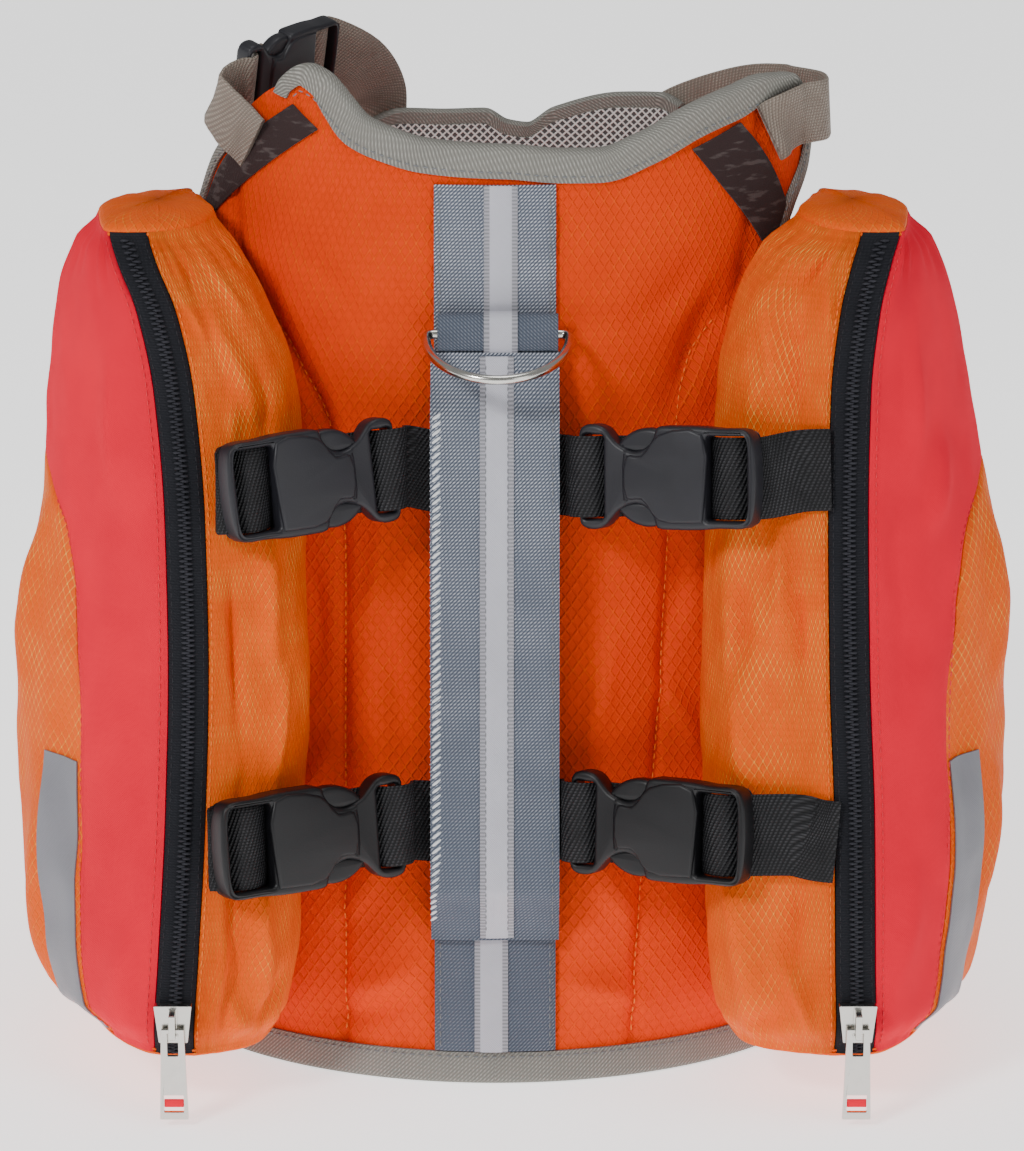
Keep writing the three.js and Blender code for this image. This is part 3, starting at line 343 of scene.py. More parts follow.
def groove(distance, depth, width):
    return -depth * math.exp(-((distance / width) ** 2))


# Meshes


def wall(place, us, vs, low, high, uv):
    """A closed cloth wall: a grid laid on a surface, with a second layer at another lift."""
    bm = bmesh.new()
    nu, nv = len(us) - 1, len(vs) - 1
    bmesh.ops.create_grid(bm, x_segments=nu, y_segments=nv, size=0.5)
    if len(bm.verts) != (nu + 1) * (nv + 1):
        raise RuntimeError("the grid doesn't have one vertex for each station")
    across = bm.verts.layers.int.new("across")
    along = bm.verts.layers.int.new("along")
    for vert in bm.verts:
        vert[across] = round((vert.co.x + 0.5) * nu)
        vert[along] = round((vert.co.y + 0.5) * nv)
    outer = bm.faces[:]
    made = bmesh.ops.extrude_face_region(bm, geom=bm.faces[:], use_keep_orig=True)
    inner = {item for item in made["geom"] if isinstance(item, bmesh.types.BMVert)}
    maps = bm.loops.layers.uv.new("cloth")
    spots = {}
    for vert in bm.verts:
        i, j = vert[across], vert[along]
        lift = low if vert in inner else high
        value = lift(us[i], vs[j]) if callable(lift) else lift
        vert.co = place(us[i], vs[j], value) * MM
        if vert not in inner:
            spots[i, j] = vert.co.copy()
    for face in bm.faces:
        for loop in face.loops:
            u, v = uv(us[loop.vert[across]], vs[loop.vert[along]])
            loop[maps].uv = (u * MM, v * MM)
    rows = [sum((spots[i + 1, j] - spots[i, j]).length for i in range(nu)) for j in range(0, nv + 1, 4)]
    columns = [sum((spots[i, j + 1] - spots[i, j]).length for j in range(nv)) for i in range(0, nu + 1, 4)]
    cut = {"flat": (max(rows), max(columns)), "area": sum(face.calc_area() for face in outer)}
    bm.verts.layers.int.remove(along)
    bm.verts.layers.int.remove(bm.verts.layers.int["across"])
    soften(bm)
    return bm, cut


def swept(rings, closed, girth=None):
    """A tube through rings of points, with its ends filled unless it closes on itself."""
    bm = bmesh.new()
    size, count = len(rings[0]), len(rings)
    spans = count if closed else count - 1
    bmesh.ops.create_grid(bm, x_segments=size, y_segments=spans, size=0.5)
    maps = bm.loops.layers.uv.new("cloth")
    around = [0.0]
    for a, b in zip(rings[0], rings[0][1:] + rings[0][:1]):
        around.append(around[-1] + (b - a).length)
    along = [0.0]
    for a, b in zip(rings, rings[1:] + rings[:1]):
        along.append(along[-1] + (b[0] - a[0]).length)
    for face in bm.faces:
        for loop in face.loops:
            i = round((loop.vert.co.x + 0.5) * size)
            j = round((loop.vert.co.y + 0.5) * spans)
            loop[maps].uv = (around[i] * MM, along[j] * MM)
    for vert in bm.verts:
        i = round((vert.co.x + 0.5) * size) % size
        j = round((vert.co.y + 0.5) * spans) % count
        vert.co = rings[j][i] * MM
    bmesh.ops.remove_doubles(bm, verts=bm.verts[:], dist=1e-7)
    if not closed:
        bmesh.ops.holes_fill(bm, edges=[e for e in bm.edges if e.is_boundary], sides=0)
    soften(bm)
    length = along[-1] if closed else along[-2]
    return bm, {"flat": ((girth or around[-1]) * MM, length * MM), "area": None}


def soften(bm, limit=50):
    """Outward faces, smooth but for the rims."""
    bmesh.ops.recalc_face_normals(bm, faces=bm.faces[:])
    for face in bm.faces:
        face.smooth = True
    for edge in bm.edges:
        edge.smooth = edge.calc_face_angle(0) < math.radians(limit)


def add_piece(name, bm, finish, stands_for=(), body=BODY):
    """Puts a mesh in the scene, gives it its finish and makes it ride on its body."""
    bmesh.ops.translate(bm, verts=bm.verts[:], vec=TO_BOX_MIDDLE)
    mesh = bpy.data.meshes.new(name)
    bm.to_mesh(mesh)
    bm.free()
    piece = bpy.data.objects.new(name, mesh)
    bpy.context.scene.collection.objects.link(piece)
    mesh.materials.append(finish_of(finish))
    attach(piece, body)
    if stands_for:
        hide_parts(*stands_for)
    return piece


def add_cloth(name, made, finish, stands_for, body=BODY):
    """A piece of cloth; the size that it was cut to is not used."""
    bm, cut = made
    piece = add_piece(name, bm, finish, stands_for, body)
    return piece


# Finishes


class Shader:
    """A material's nodes, added with few words."""

    def __init__(self, name, roughness, metallic=0.0, sheen=0.0, gloss=0.12):
        self.material = bpy.data.materials.new(name)
        self.material.use_nodes = True
        self.tree = self.material.node_tree
        self.surface = self.tree.nodes["Principled BSDF"]
        self.surface.inputs["Roughness"].default_value = roughness
        self.surface.inputs["Metallic"].default_value = metallic
        self.surface.inputs["Sheen Weight"].default_value = sheen
        self.surface.inputs["Specular IOR Level"].default_value = gloss

    def add(self, kind, **settings):
        node = self.tree.nodes.new(kind)
        for key, value in settings.items():
            setattr(node, key, value)
        return node

    def link(self, source, target):
        self.tree.links.new(source, target)

    def math(self, operation, *values):
        node = self.add("ShaderNodeMath", operation=operation)
        for socket, value in zip(node.inputs, values):
            if isinstance(value, bpy.types.NodeSocket):
                self.link(value, socket)
            else:
                socket.default_value = value
        return node.outputs[0]

    def band(self, value, low, high):
        """1 below low, 0 above high, smooth between."""
        node = self.add("ShaderNodeMapRange", interpolation_type="SMOOTHSTEP")
        self.link(value, node.inputs["Value"])
        node.inputs["From Min"].default_value = low
        node.inputs["From Max"].default_value = high
        node.inputs["To Min"].default_value = 1.0
        node.inputs["To Max"].default_value = 0.0
        return node.outputs["Result"]

    def cloth_place(self):
        """The two directions of the cloth in millimetres."""
        node = self.add("ShaderNodeUVMap", uv_map="cloth")
        split = self.add("ShaderNodeSeparateXYZ")
        self.link(node.outputs["UV"], split.inputs[0])
        width, length = (self.math("MULTIPLY", split.outputs[axis], 1 / MM) for axis in "XY")
        return width, length

    def ramp(self, value, low, high, at_low, at_high):
        """A straight change from one value to another."""
        node = self.add("ShaderNodeMapRange")
        self.link(value, node.inputs["Value"])
        node.inputs["From Min"].default_value = low
        node.inputs["From Max"].default_value = high
        node.inputs["To Min"].default_value = at_low
        node.inputs["To Max"].default_value = at_high
        return node.outputs["Result"]

    def cloud(self, size_mm, detail=2.0):
        """Soft noise from 0 to 1 with patches of about a size."""
        node = self.add("ShaderNodeTexNoise")
        coordinates = self.add("ShaderNodeTexCoord")
        self.link(coordinates.outputs["Object"], node.inputs["Vector"])
        node.inputs["Scale"].default_value = 1000.0 / size_mm
        node.inputs["Detail"].default_value = detail
        return node.outputs["Fac"]

    def blend(self, factor, dark, light):
        node = self.add("ShaderNodeMix", data_type="RGBA")
        self.feed(node.inputs[0], factor)
        self.feed(node.inputs[6], dark)
        self.feed(node.inputs[7], light)
        return node.outputs[2]

    def feed(self, socket, value):
        if isinstance(value, bpy.types.NodeSocket):
            self.link(value, socket)
        elif isinstance(value, (int, float)):
            socket.default_value = value
        else:
            socket.default_value = (*value[:3], 1.0)

    def colour(self, value):
        self.feed(self.surface.inputs["Base Color"], value)

    def bump(self, height, distance_mm, strength=1.0):
        node = self.add("ShaderNodeBump")
        node.inputs["Strength"].default_value = strength
        node.inputs["Distance"].default_value = distance_mm * MM
        self.link(height, node.inputs["Height"])
        self.link(node.outputs["Normal"], self.surface.inputs["Normal"])


def tinted(colour, factor):
    return tuple(min(c * factor, 1.0) for c in colour[:3])


def diamond_cloth(name, colour, painted_glint_colour, pitch=2.9, shine=0.0, depth=0.22, painted_glint_mix=0.55):
    """Woven cloth with a net of raised threads that cross in diamonds, and painted glints on the threads."""
    shader = Shader(name, 0.6)
    u, v = shader.cloth_place()
    rise = shader.math("MULTIPLY", v, 0.72)
    lines = []
    for sign in ("ADD", "SUBTRACT"):
        phase = shader.math("DIVIDE", shader.math(sign, u, rise), pitch)
        lines.append(shader.band(shader.math("PINGPONG", phase, 0.5), 0.05, 0.16))
    net = shader.math("MAXIMUM", *lines)
    knots = shader.math("MULTIPLY", *lines)
    fine = shader.math("MULTIPLY", shader.math("SINE", shader.math("MULTIPLY", u, 14.0)),
                       shader.math("SINE", shader.math("MULTIPLY", v, 14.0)))
    patches = shader.cloud(26.0)
    cloth = shader.blend(patches, tinted(colour, 0.78), tinted(colour, 1.1))
    # Painted highlight: paler glints on the threads and their crossings, in patches.
    glint = shader.math("MULTIPLY", shader.math("ADD", shader.math("MULTIPLY", net, 0.55), knots), painted_glint_mix)
    lit = shader.band(shader.cloud(11.0, 3.0), 0.34, 0.72)
    lit = shader.math("SUBTRACT", 1.0 + shine, lit)
    # Painted highlight: the glints grow weaker towards the bottom, as if lit from above.
    painted_glint_fade_down = shader.ramp(v, 40, 210, 0.45, 1.0)
    strength = shader.math("MULTIPLY", glint, shader.math("MULTIPLY", lit, painted_glint_fade_down))
    shader.colour(shader.blend(strength, cloth, painted_glint_colour))
    height = shader.math("ADD", net, shader.math("MULTIPLY", fine, 0.18))
    shader.bump(height, depth)
    return shader.material


def plain_cloth(name, colour, pitch=0.7, roughness=0.8, depth=0.08):
    """Plain weave with soft patches of colour."""
    shader = Shader(name, roughness)
    u, v = shader.cloth_place()
    turn = 2 * math.pi / pitch
    weave = shader.math("MULTIPLY", shader.math("SINE", shader.math("MULTIPLY", u, turn)),
                        shader.math("SINE", shader.math("MULTIPLY", v, turn)))
    shader.colour(shader.blend(shader.cloud(24.0), tinted(colour, 0.86), tinted(colour, 1.14)))
    shader.bump(weave, depth)
    return shader.material


def twill_cloth(name, colour, glint, pitch=1.1, slope=1.0, share=0.45, glints_fade_down=False, depth=0.18):
    """Twill with slanting ribs, with painted shade in the furrows between them and painted glints on them."""
    shader = Shader(name, 0.75)
    u, v = shader.cloth_place()
    phase = shader.math("DIVIDE", shader.math("ADD", u, shader.math("MULTIPLY", v, slope)), pitch)
    rib = shader.band(shader.math("PINGPONG", phase, 0.5), 0.12, 0.36)
    threads = shader.band(shader.math("PINGPONG", shader.math("DIVIDE", v, pitch * 0.9), 0.5), 0.14, 0.34)
    light = shader.math("MULTIPLY", rib, shader.math("ADD", shader.math("MULTIPLY", threads, 0.75), 0.25))
    patches = shader.math("ADD", shader.math("MULTIPLY", shader.cloud(13.0, 2.0), 0.7), 0.3)
    amount = shader.math("MULTIPLY", shader.math("MULTIPLY", light, patches), share * 2)
    # Painted highlight: here the glints grow weaker towards the bottom, as if lit from above.
    if glints_fade_down:
        amount = shader.math("MULTIPLY", amount, shader.ramp(v, 40, 250, 0.2, 1.0))
    # Painted shade: the cloth is darker in the furrows between the ribs.
    painted_furrow_shade = shader.blend(rib, tinted(colour, 0.55), colour)
    cloth = shader.blend(shader.cloud(30.0), tinted(colour, 0.92), painted_furrow_shade)
    shader.colour(shader.blend(amount, cloth, glint))
    shader.bump(light, depth)
    return shader.material


def webbing_cloth(name, colour, painted_rib_glint_colour, pitch=1.35, roughness=0.6):
    """Webbing with slanting ribs and fine threads across them, with painted glints where they cross."""
    shader = Shader(name, roughness, gloss=0.25)
    u, v = shader.cloth_place()
    slant = shader.math("ADD", v, shader.math("MULTIPLY", u, 0.45))
    picks = shader.band(shader.math("PINGPONG", shader.math("DIVIDE", slant, pitch), 0.5), 0.06, 0.44)
    ribs = shader.band(shader.math("PINGPONG", shader.math("DIVIDE", u, 0.9), 0.5), 0.1, 0.5)
    height = shader.math("ADD", picks, shader.math("MULTIPLY", ribs, 0.35))
    # Painted highlight: paler glints on the ribs, in patches.
    lit = shader.math("MULTIPLY", shader.math("MULTIPLY", picks, ribs), shader.cloud(7.0))
    shader.colour(shader.blend(lit, colour, painted_rib_glint_colour))
    shader.bump(height, 0.26)
    return shader.material


def mesh_cloth(name, colour, painted_hole_shade, pitch=3.2):
    """Open mesh: holes in staggered rows, painted dark for the shade behind them."""
    shader = Shader(name, 0.85)
    u, v = shader.cloth_place()
    lines = []
    for sign in ("ADD", "SUBTRACT"):
        phase = shader.math("DIVIDE", shader.math(sign, u, shader.math("MULTIPLY", v, 1.2)), pitch)
        lines.append(shader.band(shader.math("PINGPONG", phase, 0.5), 0.1, 0.24))
    net = shader.math("MAXIMUM", *lines)
    # Painted shade: the holes are a dark colour on a closed sheet, for the shade seen through them.
    shader.colour(shader.blend(net, painted_hole_shade, colour))
    shader.bump(net, 0.5)
    return shader.material


def reflective_cloth(name, colour, edge_from=1000.0):
    """Silver tape with a fine grid, and ribbed grey edges past a distance from its middle."""
    shader = Shader(name, 0.4, metallic=0.1, gloss=0.5)
    u, v = shader.cloth_place()
    grid = shader.math("MULTIPLY", shader.math("SINE", shader.math("MULTIPLY", u, 9.0)),
                       shader.math("SINE", shader.math("MULTIPLY", v, 9.0)))
    silver = shader.blend(shader.cloud(14.0, 3.0), tinted(colour, 0.88), tinted(colour, 1.1))
    ribs = shader.band(shader.math("PINGPONG", shader.math("DIVIDE", v, 1.1), 0.5), 0.1, 0.4)
    ribbed = shader.blend(ribs, tinted(colour, 0.42), tinted(colour, 0.72))
    centre = shader.band(shader.math("ABSOLUTE", u), edge_from, edge_from + 0.3)
    shader.colour(shader.blend(centre, ribbed, silver))
    shader.bump(grid, 0.05)
    return shader.material


def moulded_plastic(name, colour):
    """Matt moulded plastic with a fine grain and rubbed patches."""
    shader = Shader(name, 0.42, gloss=0.4)
    grain = shader.cloud(0.5, 1.0)
    wear = shader.cloud(9.0, 4.0)
    shader.colour(shader.blend(wear, tinted(colour, 0.8), tinted(colour, 1.35)))
    rough = shader.math("ADD", shader.math("MULTIPLY", wear, 0.16), 0.34)
    shader.link(rough, shader.surface.inputs["Roughness"])
    shader.bump(grain, 0.04, 0.7)
    return shader.material


def plated_metal(name, colour):
    """Nickel plate with faint scuffs."""
    shader = Shader(name, 0.2, metallic=1.0, gloss=0.5)
    scuffs = shader.cloud(3.0, 6.0)
    shader.colour(shader.blend(scuffs, tinted(colour, 0.92), tinted(colour, 1.06)))
    rough = shader.math("ADD", shader.math("MULTIPLY", scuffs, 0.18), 0.12)
    shader.link(rough, shader.surface.inputs["Roughness"])
    return shader.material


def napped_cloth(name, colour):
    """Dark napped cloth with pale rubs."""
    shader = Shader(name, 0.95, sheen=0.1)
    scratches = shader.add("ShaderNodeTexNoise")
    coordinates = shader.add("ShaderNodeTexCoord")
    mapping = shader.add("ShaderNodeMapping")
    mapping.inputs["Scale"].default_value = (1.0, 1.0, 4.0)
    mapping.inputs["Rotation"].default_value = (0.0, 0.7, 0.0)
    shader.link(coordinates.outputs["Object"], mapping.inputs["Vector"])
    shader.link(mapping.outputs["Vector"], scratches.inputs["Vector"])
    scratches.inputs["Scale"].default_value = 120.0
    scratches.inputs["Detail"].default_value = 6.0
    rubbed = shader.band(scratches.outputs["Fac"], 0.34, 0.46)
    shader.colour(shader.blend(shader.math("MULTIPLY", rubbed, 0.16), colour, (0.3, 0.27, 0.26)))
    shader.bump(shader.cloud(0.7, 2.0), 0.3)
    return shader.material


def thread(name, colour):
    shader = Shader(name, 0.7)
    shader.colour(shader.blend(shader.cloud(1.2), tinted(colour, 0.8), tinted(colour, 1.15)))
    return shader.material


FINISH_MAKERS = {
    # The second colour of each diamond cloth, twill and webbing here is its painted glint colour; the mesh's
    # second colour is the painted shade of its holes.
    "orange_cloth": lambda c: diamond_cloth("orange_cloth", c.orange, (1.0, 0.16, 0.0), 3.6, 0.1, 0.34, 0.4),
    "bag_orange_cloth": lambda c: diamond_cloth("bag_orange_cloth", c.bag_orange, (1.0, 0.6, 0.1), 3.0, 0.15),
    "red_cloth": lambda c: plain_cloth("red_cloth", c.red),
    "grey_twill": lambda c: twill_cloth("grey_twill", c.grey_tape, (0.5, 0.49, 0.45), 1.3, 1.0, 0.35),
    "blue_grey_twill": lambda c: twill_cloth(
        "blue_grey_twill", c.strip, (0.75, 0.78, 0.86), 1.2, -1.0, 0.55, glints_fade_down=True),
    "reflective": lambda c: reflective_cloth("reflective", c.silver, 3.3),
    # Painted shade: the bags' reflective tape is a darker copy of the same silver.
    "bag_silver_painted_shade": lambda c: reflective_cloth("bag_silver_painted_shade", tinted(c.silver, 0.42)),
    "dark_nap": lambda c: napped_cloth("dark_nap", c.shoulder_band),
    "mesh": lambda c: mesh_cloth("mesh", (0.8, 0.83, 0.8), (0.1, 0.1, 0.1)),
    "black_webbing": lambda c: webbing_cloth("black_webbing", c.webbing, (0.06, 0.06, 0.066)),
    "grey_webbing": lambda c: webbing_cloth("grey_webbing", c.shoulder_webbing, (0.45, 0.4, 0.34)),
    "zip_tape": lambda c: twill_cloth("zip_tape", (0.012, 0.013, 0.017), (0.05, 0.05, 0.06), 0.9, 1.0, 0.4),
    "buckle_plastic": lambda c: moulded_plastic("buckle_plastic", c.plastic),
    # Painted shade: the lower buckles take a darker copy of the same plastic.
    "lower_buckle_plastic_painted_shade": lambda c: moulded_plastic("lower_buckle_plastic_painted_shade", tinted(c.plastic, 0.3)),
    "nickel": lambda c: plated_metal("nickel", (0.6, 0.59, 0.55)),
}
# Finishes of the new stitching pieces
THREADS = {
    "orange_thread": (1.0, 0.2, 0.03),
    "grey_thread": (0.2, 0.21, 0.22),
    "pale_thread": (0.72, 0.74, 0.76),
    "dark_thread": (0.03, 0.03, 0.035),
    "red_thread": (0.75, 0.03, 0.05),
}


def finish_of(name):
    """The material of a finish, made when it is first asked for."""
    known = bpy.data.materials.get(f"jacket_{name}")
    if known:
        return known
    if name in THREADS:
        material = thread(name, THREADS[name])
    else:
        material = FINISH_MAKERS[name](bpy.context.scene.jacket_colours)
    material.name = f"jacket_{name}"
    return material


# Body panels


def dense(low, high, core_low, core_high, outer_steps, core_steps):
    """Stations that lie closer together in the part that shows."""
    return (
        spaced(low, core_low, outer_steps)[:-1]
        + spaced(core_low, core_high, core_steps)
        + spaced(core_high, high, outer_steps)[1:]
    )


def panel_uv(edge_patch):
    def uv(u, v):
        spot = edge_patch(u, v)
        return spot.x * 1.83, spot.y

    return uv


def build_back_panel():
    def place(u, v, lift):
        spot = back_patch(u, v)
        return on_tube(spot.x, spot.y, lift)

    def high(u, v):
        turn, z = back_patch(u, v)
        x = tube_section(turn, z)[0].x
        if abs(turn) > 75:
            return 0.5 * noise.noise(Vector((turn * 0.06, z * 0.03, 1.0)))
        channel = column(CHANNELS, "z", z, "left" if x < 0 else "right")
        stitched = groove(x - channel, 1.9 * ease(z, 4, 12), 1.7)
        ripple = 0.35 * noise.noise(Vector((x * 0.09, z * 0.05, 3.0)))
        shape = pillow(x, z) + stitched + relief(BACK_FOLDS, x, z) + ripple
        return shape * (1 - ease(abs(turn), 60, 75))

    def low(u, v):
        return -mix(PAD_EDGE, PAD, padding(u, v))

    us = dense(0, 1, 0.33, 0.67, 26, 112)
    made = wall(place, us, spaced(0, 1, 150), low, high, panel_uv(back_patch))
    piece = add_piece("back_panel_cloth", made[0], "orange_cloth", ["back_panel"])


def build_chest():
    def place(u, v, lift):
        spot = chest_patch(u, v)
        return on_tube(spot.x, spot.y, lift)

    def low(u, v):
        return -mix(PAD_EDGE, PAD, padding(u, v))

    def high(u, v):
        spot = chest_patch(u, v)
        return 1.4 * math.sin(math.pi * min(max(v * 4 % 1, 0), 1)) * padding(u, v) * 0.4 + 0.4 * noise.noise(
            Vector((spot.x * 0.07, spot.y * 0.04, 5.0)))

    made = wall(place, spaced(0, 1, 70), spaced(0, 1, 90), low, high, panel_uv(chest_patch))
    piece = add_piece("chest_panel_cloth", made[0], "orange_cloth", ["chest_panel"])

    def inside(u, v):
        return low(u, v) - 0.35

    def lining(u, v):
        spot = chest_patch(u, v)
        return inside(u, v) - 1.0 - 0.5 * (1 + noise.noise(Vector((spot.x * 0.12, spot.y * 0.08, 9.0))))

    made = wall(place, spaced(0.05, 0.95, 60), spaced(0.31, 0.99, 70), lining, inside, panel_uv(chest_patch))
    add_cloth("chest_lining_cloth", made, "mesh", ["chest_lining"])


TAPE_SECTION = table(
    "leg reach lift",
    (1, 0, 0.0), (1, 0, 0.85), (0.55, 0, 1.35), (0, 0.0, 1.55), (0, 1.1, 1.3), (0, 1.9, 0.2),
    (0, 2.0, -1.5), (0, 1.9, -3.2), (0, 1.1, -4.3), (0.55, 0, -4.3), (1, 0, -3.9), (1, 0, -3.1),
    (0, 0.5, -3.0), (0, 0.75, -1.5), (0, 0.5, 0.0),
)


def edge_tape(curve, shares, out_side, leg, closed=False):
    """A folded binding over a panel's edge: two rounded legs and the fold between them."""
    rings = []
    for t in shares:
        here, before, after = curve(t), curve(t - 0.004), curve(t + 0.004)
        per_degree = (on_tube(here.x + 0.5, here.y) - on_tube(here.x - 0.5, here.y)).length
        along = Vector(((after.x - before.x) * per_degree, after.y - before.y)).normalized()
        out = Vector((-along.y, along.x)) * out_side
        width = leg(t)
        swell = 0.25 * noise.noise(Vector((here.x * 0.09, here.y * 0.09, 2.0)))
        ring = []
        for row in TAPE_SECTION:
            reach = row["reach"] - row["leg"] * width
            lift = row["lift"] + (TAPE_GAP if row["lift"] >= 0 else -TAPE_GAP) + swell * (row["lift"] > 0.5)
            ring.append(on_tube(here.x + out.x * reach / per_degree, here.y + out.y * reach, lift))
        rings.append(ring)
    return swept(rings, closed)


def clamped(curve):
    return lambda t: curve(min(max(t, 0.0), 1.0))


def hem_curve(t):
    return Vector((t * 360, PANEL_FOOT))


def build_bindings():
    def collar_leg(t):
        return mix(4.0, 8.2, ease(min(t * 1.25, (1 - t) * 1.6), 0.08, 0.34))

    bindings = (
        ("collar_binding", collar_edge, spaced(0.045, 0.985, 150), 1, collar_leg),
        ("armhole_binding_left", left_edge, spaced(0.6, 0.975, 90), 1, lambda t: 3.2),
        ("armhole_binding_right", right_edge, spaced(0.6, 0.985, 90), -1, lambda t: 3.6),
        ("chest_binding", chest_top, spaced(0.02, 0.98, 110), 1, lambda t: 6.5),
        ("chest_armhole_binding_right", chest_right, spaced(0.62, 0.97, 60), 1, lambda t: 3.2),
        ("chest_armhole_binding_left", chest_left, spaced(0.62, 0.97, 60), -1, lambda t: 3.2),
    )
    for name, curve, shares, side, leg in bindings:
        made = edge_tape(clamped(curve), shares, side, leg)
        add_piece(f"{name}_tape", made[0], "grey_twill", [name])
    made = edge_tape(hem_curve, spaced(0, 1, 220)[:-1], -1, lambda t: HEM_WIDTH - TAPE_WALL, True)
    add_piece("hem_binding_tape", made[0], "grey_twill", ["hem_binding"])


BAND_LEFT_TOP = table("turn z", (-46.5, 297.5), (-55, 290.5), (-65, 282.5), (-72, 274), (-76.5, 262))
BAND_LEFT_FOOT = table("turn z", (-38.5, 290.5), (-50, 280), (-62, 268.5), (-71, 259), (-77.5, 251))
BAND_RIGHT_TOP = table("turn z", (49.5, 291.5), (55, 284), (60, 276), (65.5, 265))
BAND_RIGHT_FOOT = table("turn z", (37.5, 284.5), (45, 272), (53, 260), (59.5, 250))


def build_shoulder_bands():
    for side, top_rows, foot_rows in (
        ("left", BAND_LEFT_TOP, BAND_LEFT_FOOT), ("right", BAND_RIGHT_TOP, BAND_RIGHT_FOOT),
    ):
        top = Spline([(row["turn"], row["z"], 0) for row in top_rows])
        foot = Spline([(row["turn"], row["z"], 0) for row in foot_rows])

        def place(u, v, lift, top=top, foot=foot):
            spot = foot.point(u).lerp(top.point(u), v)
            return on_tube(spot.x, spot.y, lift)

        def high(u, v):
            return 1.6 - 0.5 * math.exp(-((min(v, 1 - v) / 0.08) ** 2)) + 0.25 * noise.noise(
                Vector((u * 5, v * 3, 7.0)))

        made = wall(place, spaced(0, 1, 60), spaced(0, 1, 26), 0.35, high, lambda u, v: (u * 55, v * 17))
        name = f"shoulder_band_{side}"
        add_cloth(f"{name}_cloth", made, "dark_nap", [name])


# Centre strip, handle and lead ring

HANDLE_WIDTH = 40
HANDLE_TOP = 226
HANDLE_FOOT = 46
HANDLE_WALL = 2.4
STRIP_FOOT = 10.4
STRIP_TOP = 275.6
REFLECTIVE_WIDTH = 10.5
HANDLE_RISE = table(
    "z lift",
    (HANDLE_FOOT, 2.2), (56, 6.6), (65, 12.4), (84, 13.8), (135, 14), (190, 13.6), (207, 13), (216, 7.8),
    (HANDLE_TOP, 4),
)
RING_BAR = Vector((0.9, -48.9, 231.5))
RING_DROP = 76
RING_WIRE = 3.0
RING_OUTSIDE = 47.5
RING_REACH = 34
RING_CORNER = 2.5


def sag(x, z):
    return on_back(x, z).y - on_back(0, z).y


def centre_band(width, heights, low, high, middle=0.0, follow=1.0, steps=24, bend=0.0):
    """A band up the middle of the back, that follows the panel's roundness or hangs free of it."""

    def place(u, z, lift):
        base = on_back(0, z, lift)
        return Vector((middle + u + bend * math.sin(z * 0.045), base.y + follow * sag(middle + u, z), z))

    return wall(place, spaced(-width / 2, width / 2, steps), heights, low, high, lambda u, v: (u, v))


def handle_lift(z):
    return column(HANDLE_RISE, "z", z, "lift")


def handle_shape(u, z):
    """Small waves of the handle's cloth, with its edges drawn back."""
    edge = abs(u) / (HANDLE_WIDTH / 2)
    wave = 0.35 * noise.noise(Vector((u * 0.08, z * 0.045, 11.0)))
    return wave - 0.5 * ease(edge, 0.82, 1.0)


def build_strip_and_handle():
    heights = spaced(STRIP_FOOT, STRIP_TOP, 150)
    made = centre_band(STRIP_WIDTH, heights, 0.45, lambda u, z: 1.7 - 0.3 * ease(abs(u), 17, 19))
    add_cloth("centre_strip_cloth", made, "blue_grey_twill", ["centre_strip"])

    handle_heights = spaced(HANDLE_FOOT, HANDLE_TOP, 150)
    made = centre_band(
        HANDLE_WIDTH, handle_heights, lambda u, z: handle_lift(z) + handle_shape(u, z),
        lambda u, z: handle_lift(z) + handle_shape(u, z) + HANDLE_WALL, follow=0, steps=30)
    add_cloth("handle_cloth", made, "blue_grey_twill", ["handle"])

    def tape(name, low_z, high_z, base, middle, follow):
        def low(u, z):
            return base(u, z) + 0.12

        def high(u, z):
            ribbed = 0.35 if abs(u) > REFLECTIVE_WIDTH * 0.31 else 0.5
            return base(u, z) + ribbed + 0.12

        steps = max(int((high_z - low_z) / 1.2), 8)
        made = centre_band(REFLECTIVE_WIDTH, spaced(low_z, high_z, steps), low, high, middle, follow, 16)
        add_cloth(f"{name}_cloth", made, "reflective", [name])

    def on_strip(u, z):
        return 1.75

    def on_handle(u, z):
        return handle_lift(z) + handle_shape(u, z) + HANDLE_WALL + 0.05

    tape("reflective_tape_upper", 236.5, STRIP_TOP, on_strip, 1.8, 1)
    tape("reflective_tape_lower", STRIP_FOOT, HANDLE_FOOT - 0.6, on_strip, -1.2, 1)
    tape("reflective_tape_handle", HANDLE_FOOT + 0.8, HANDLE_TOP - 1, on_handle, 0.6, 0)


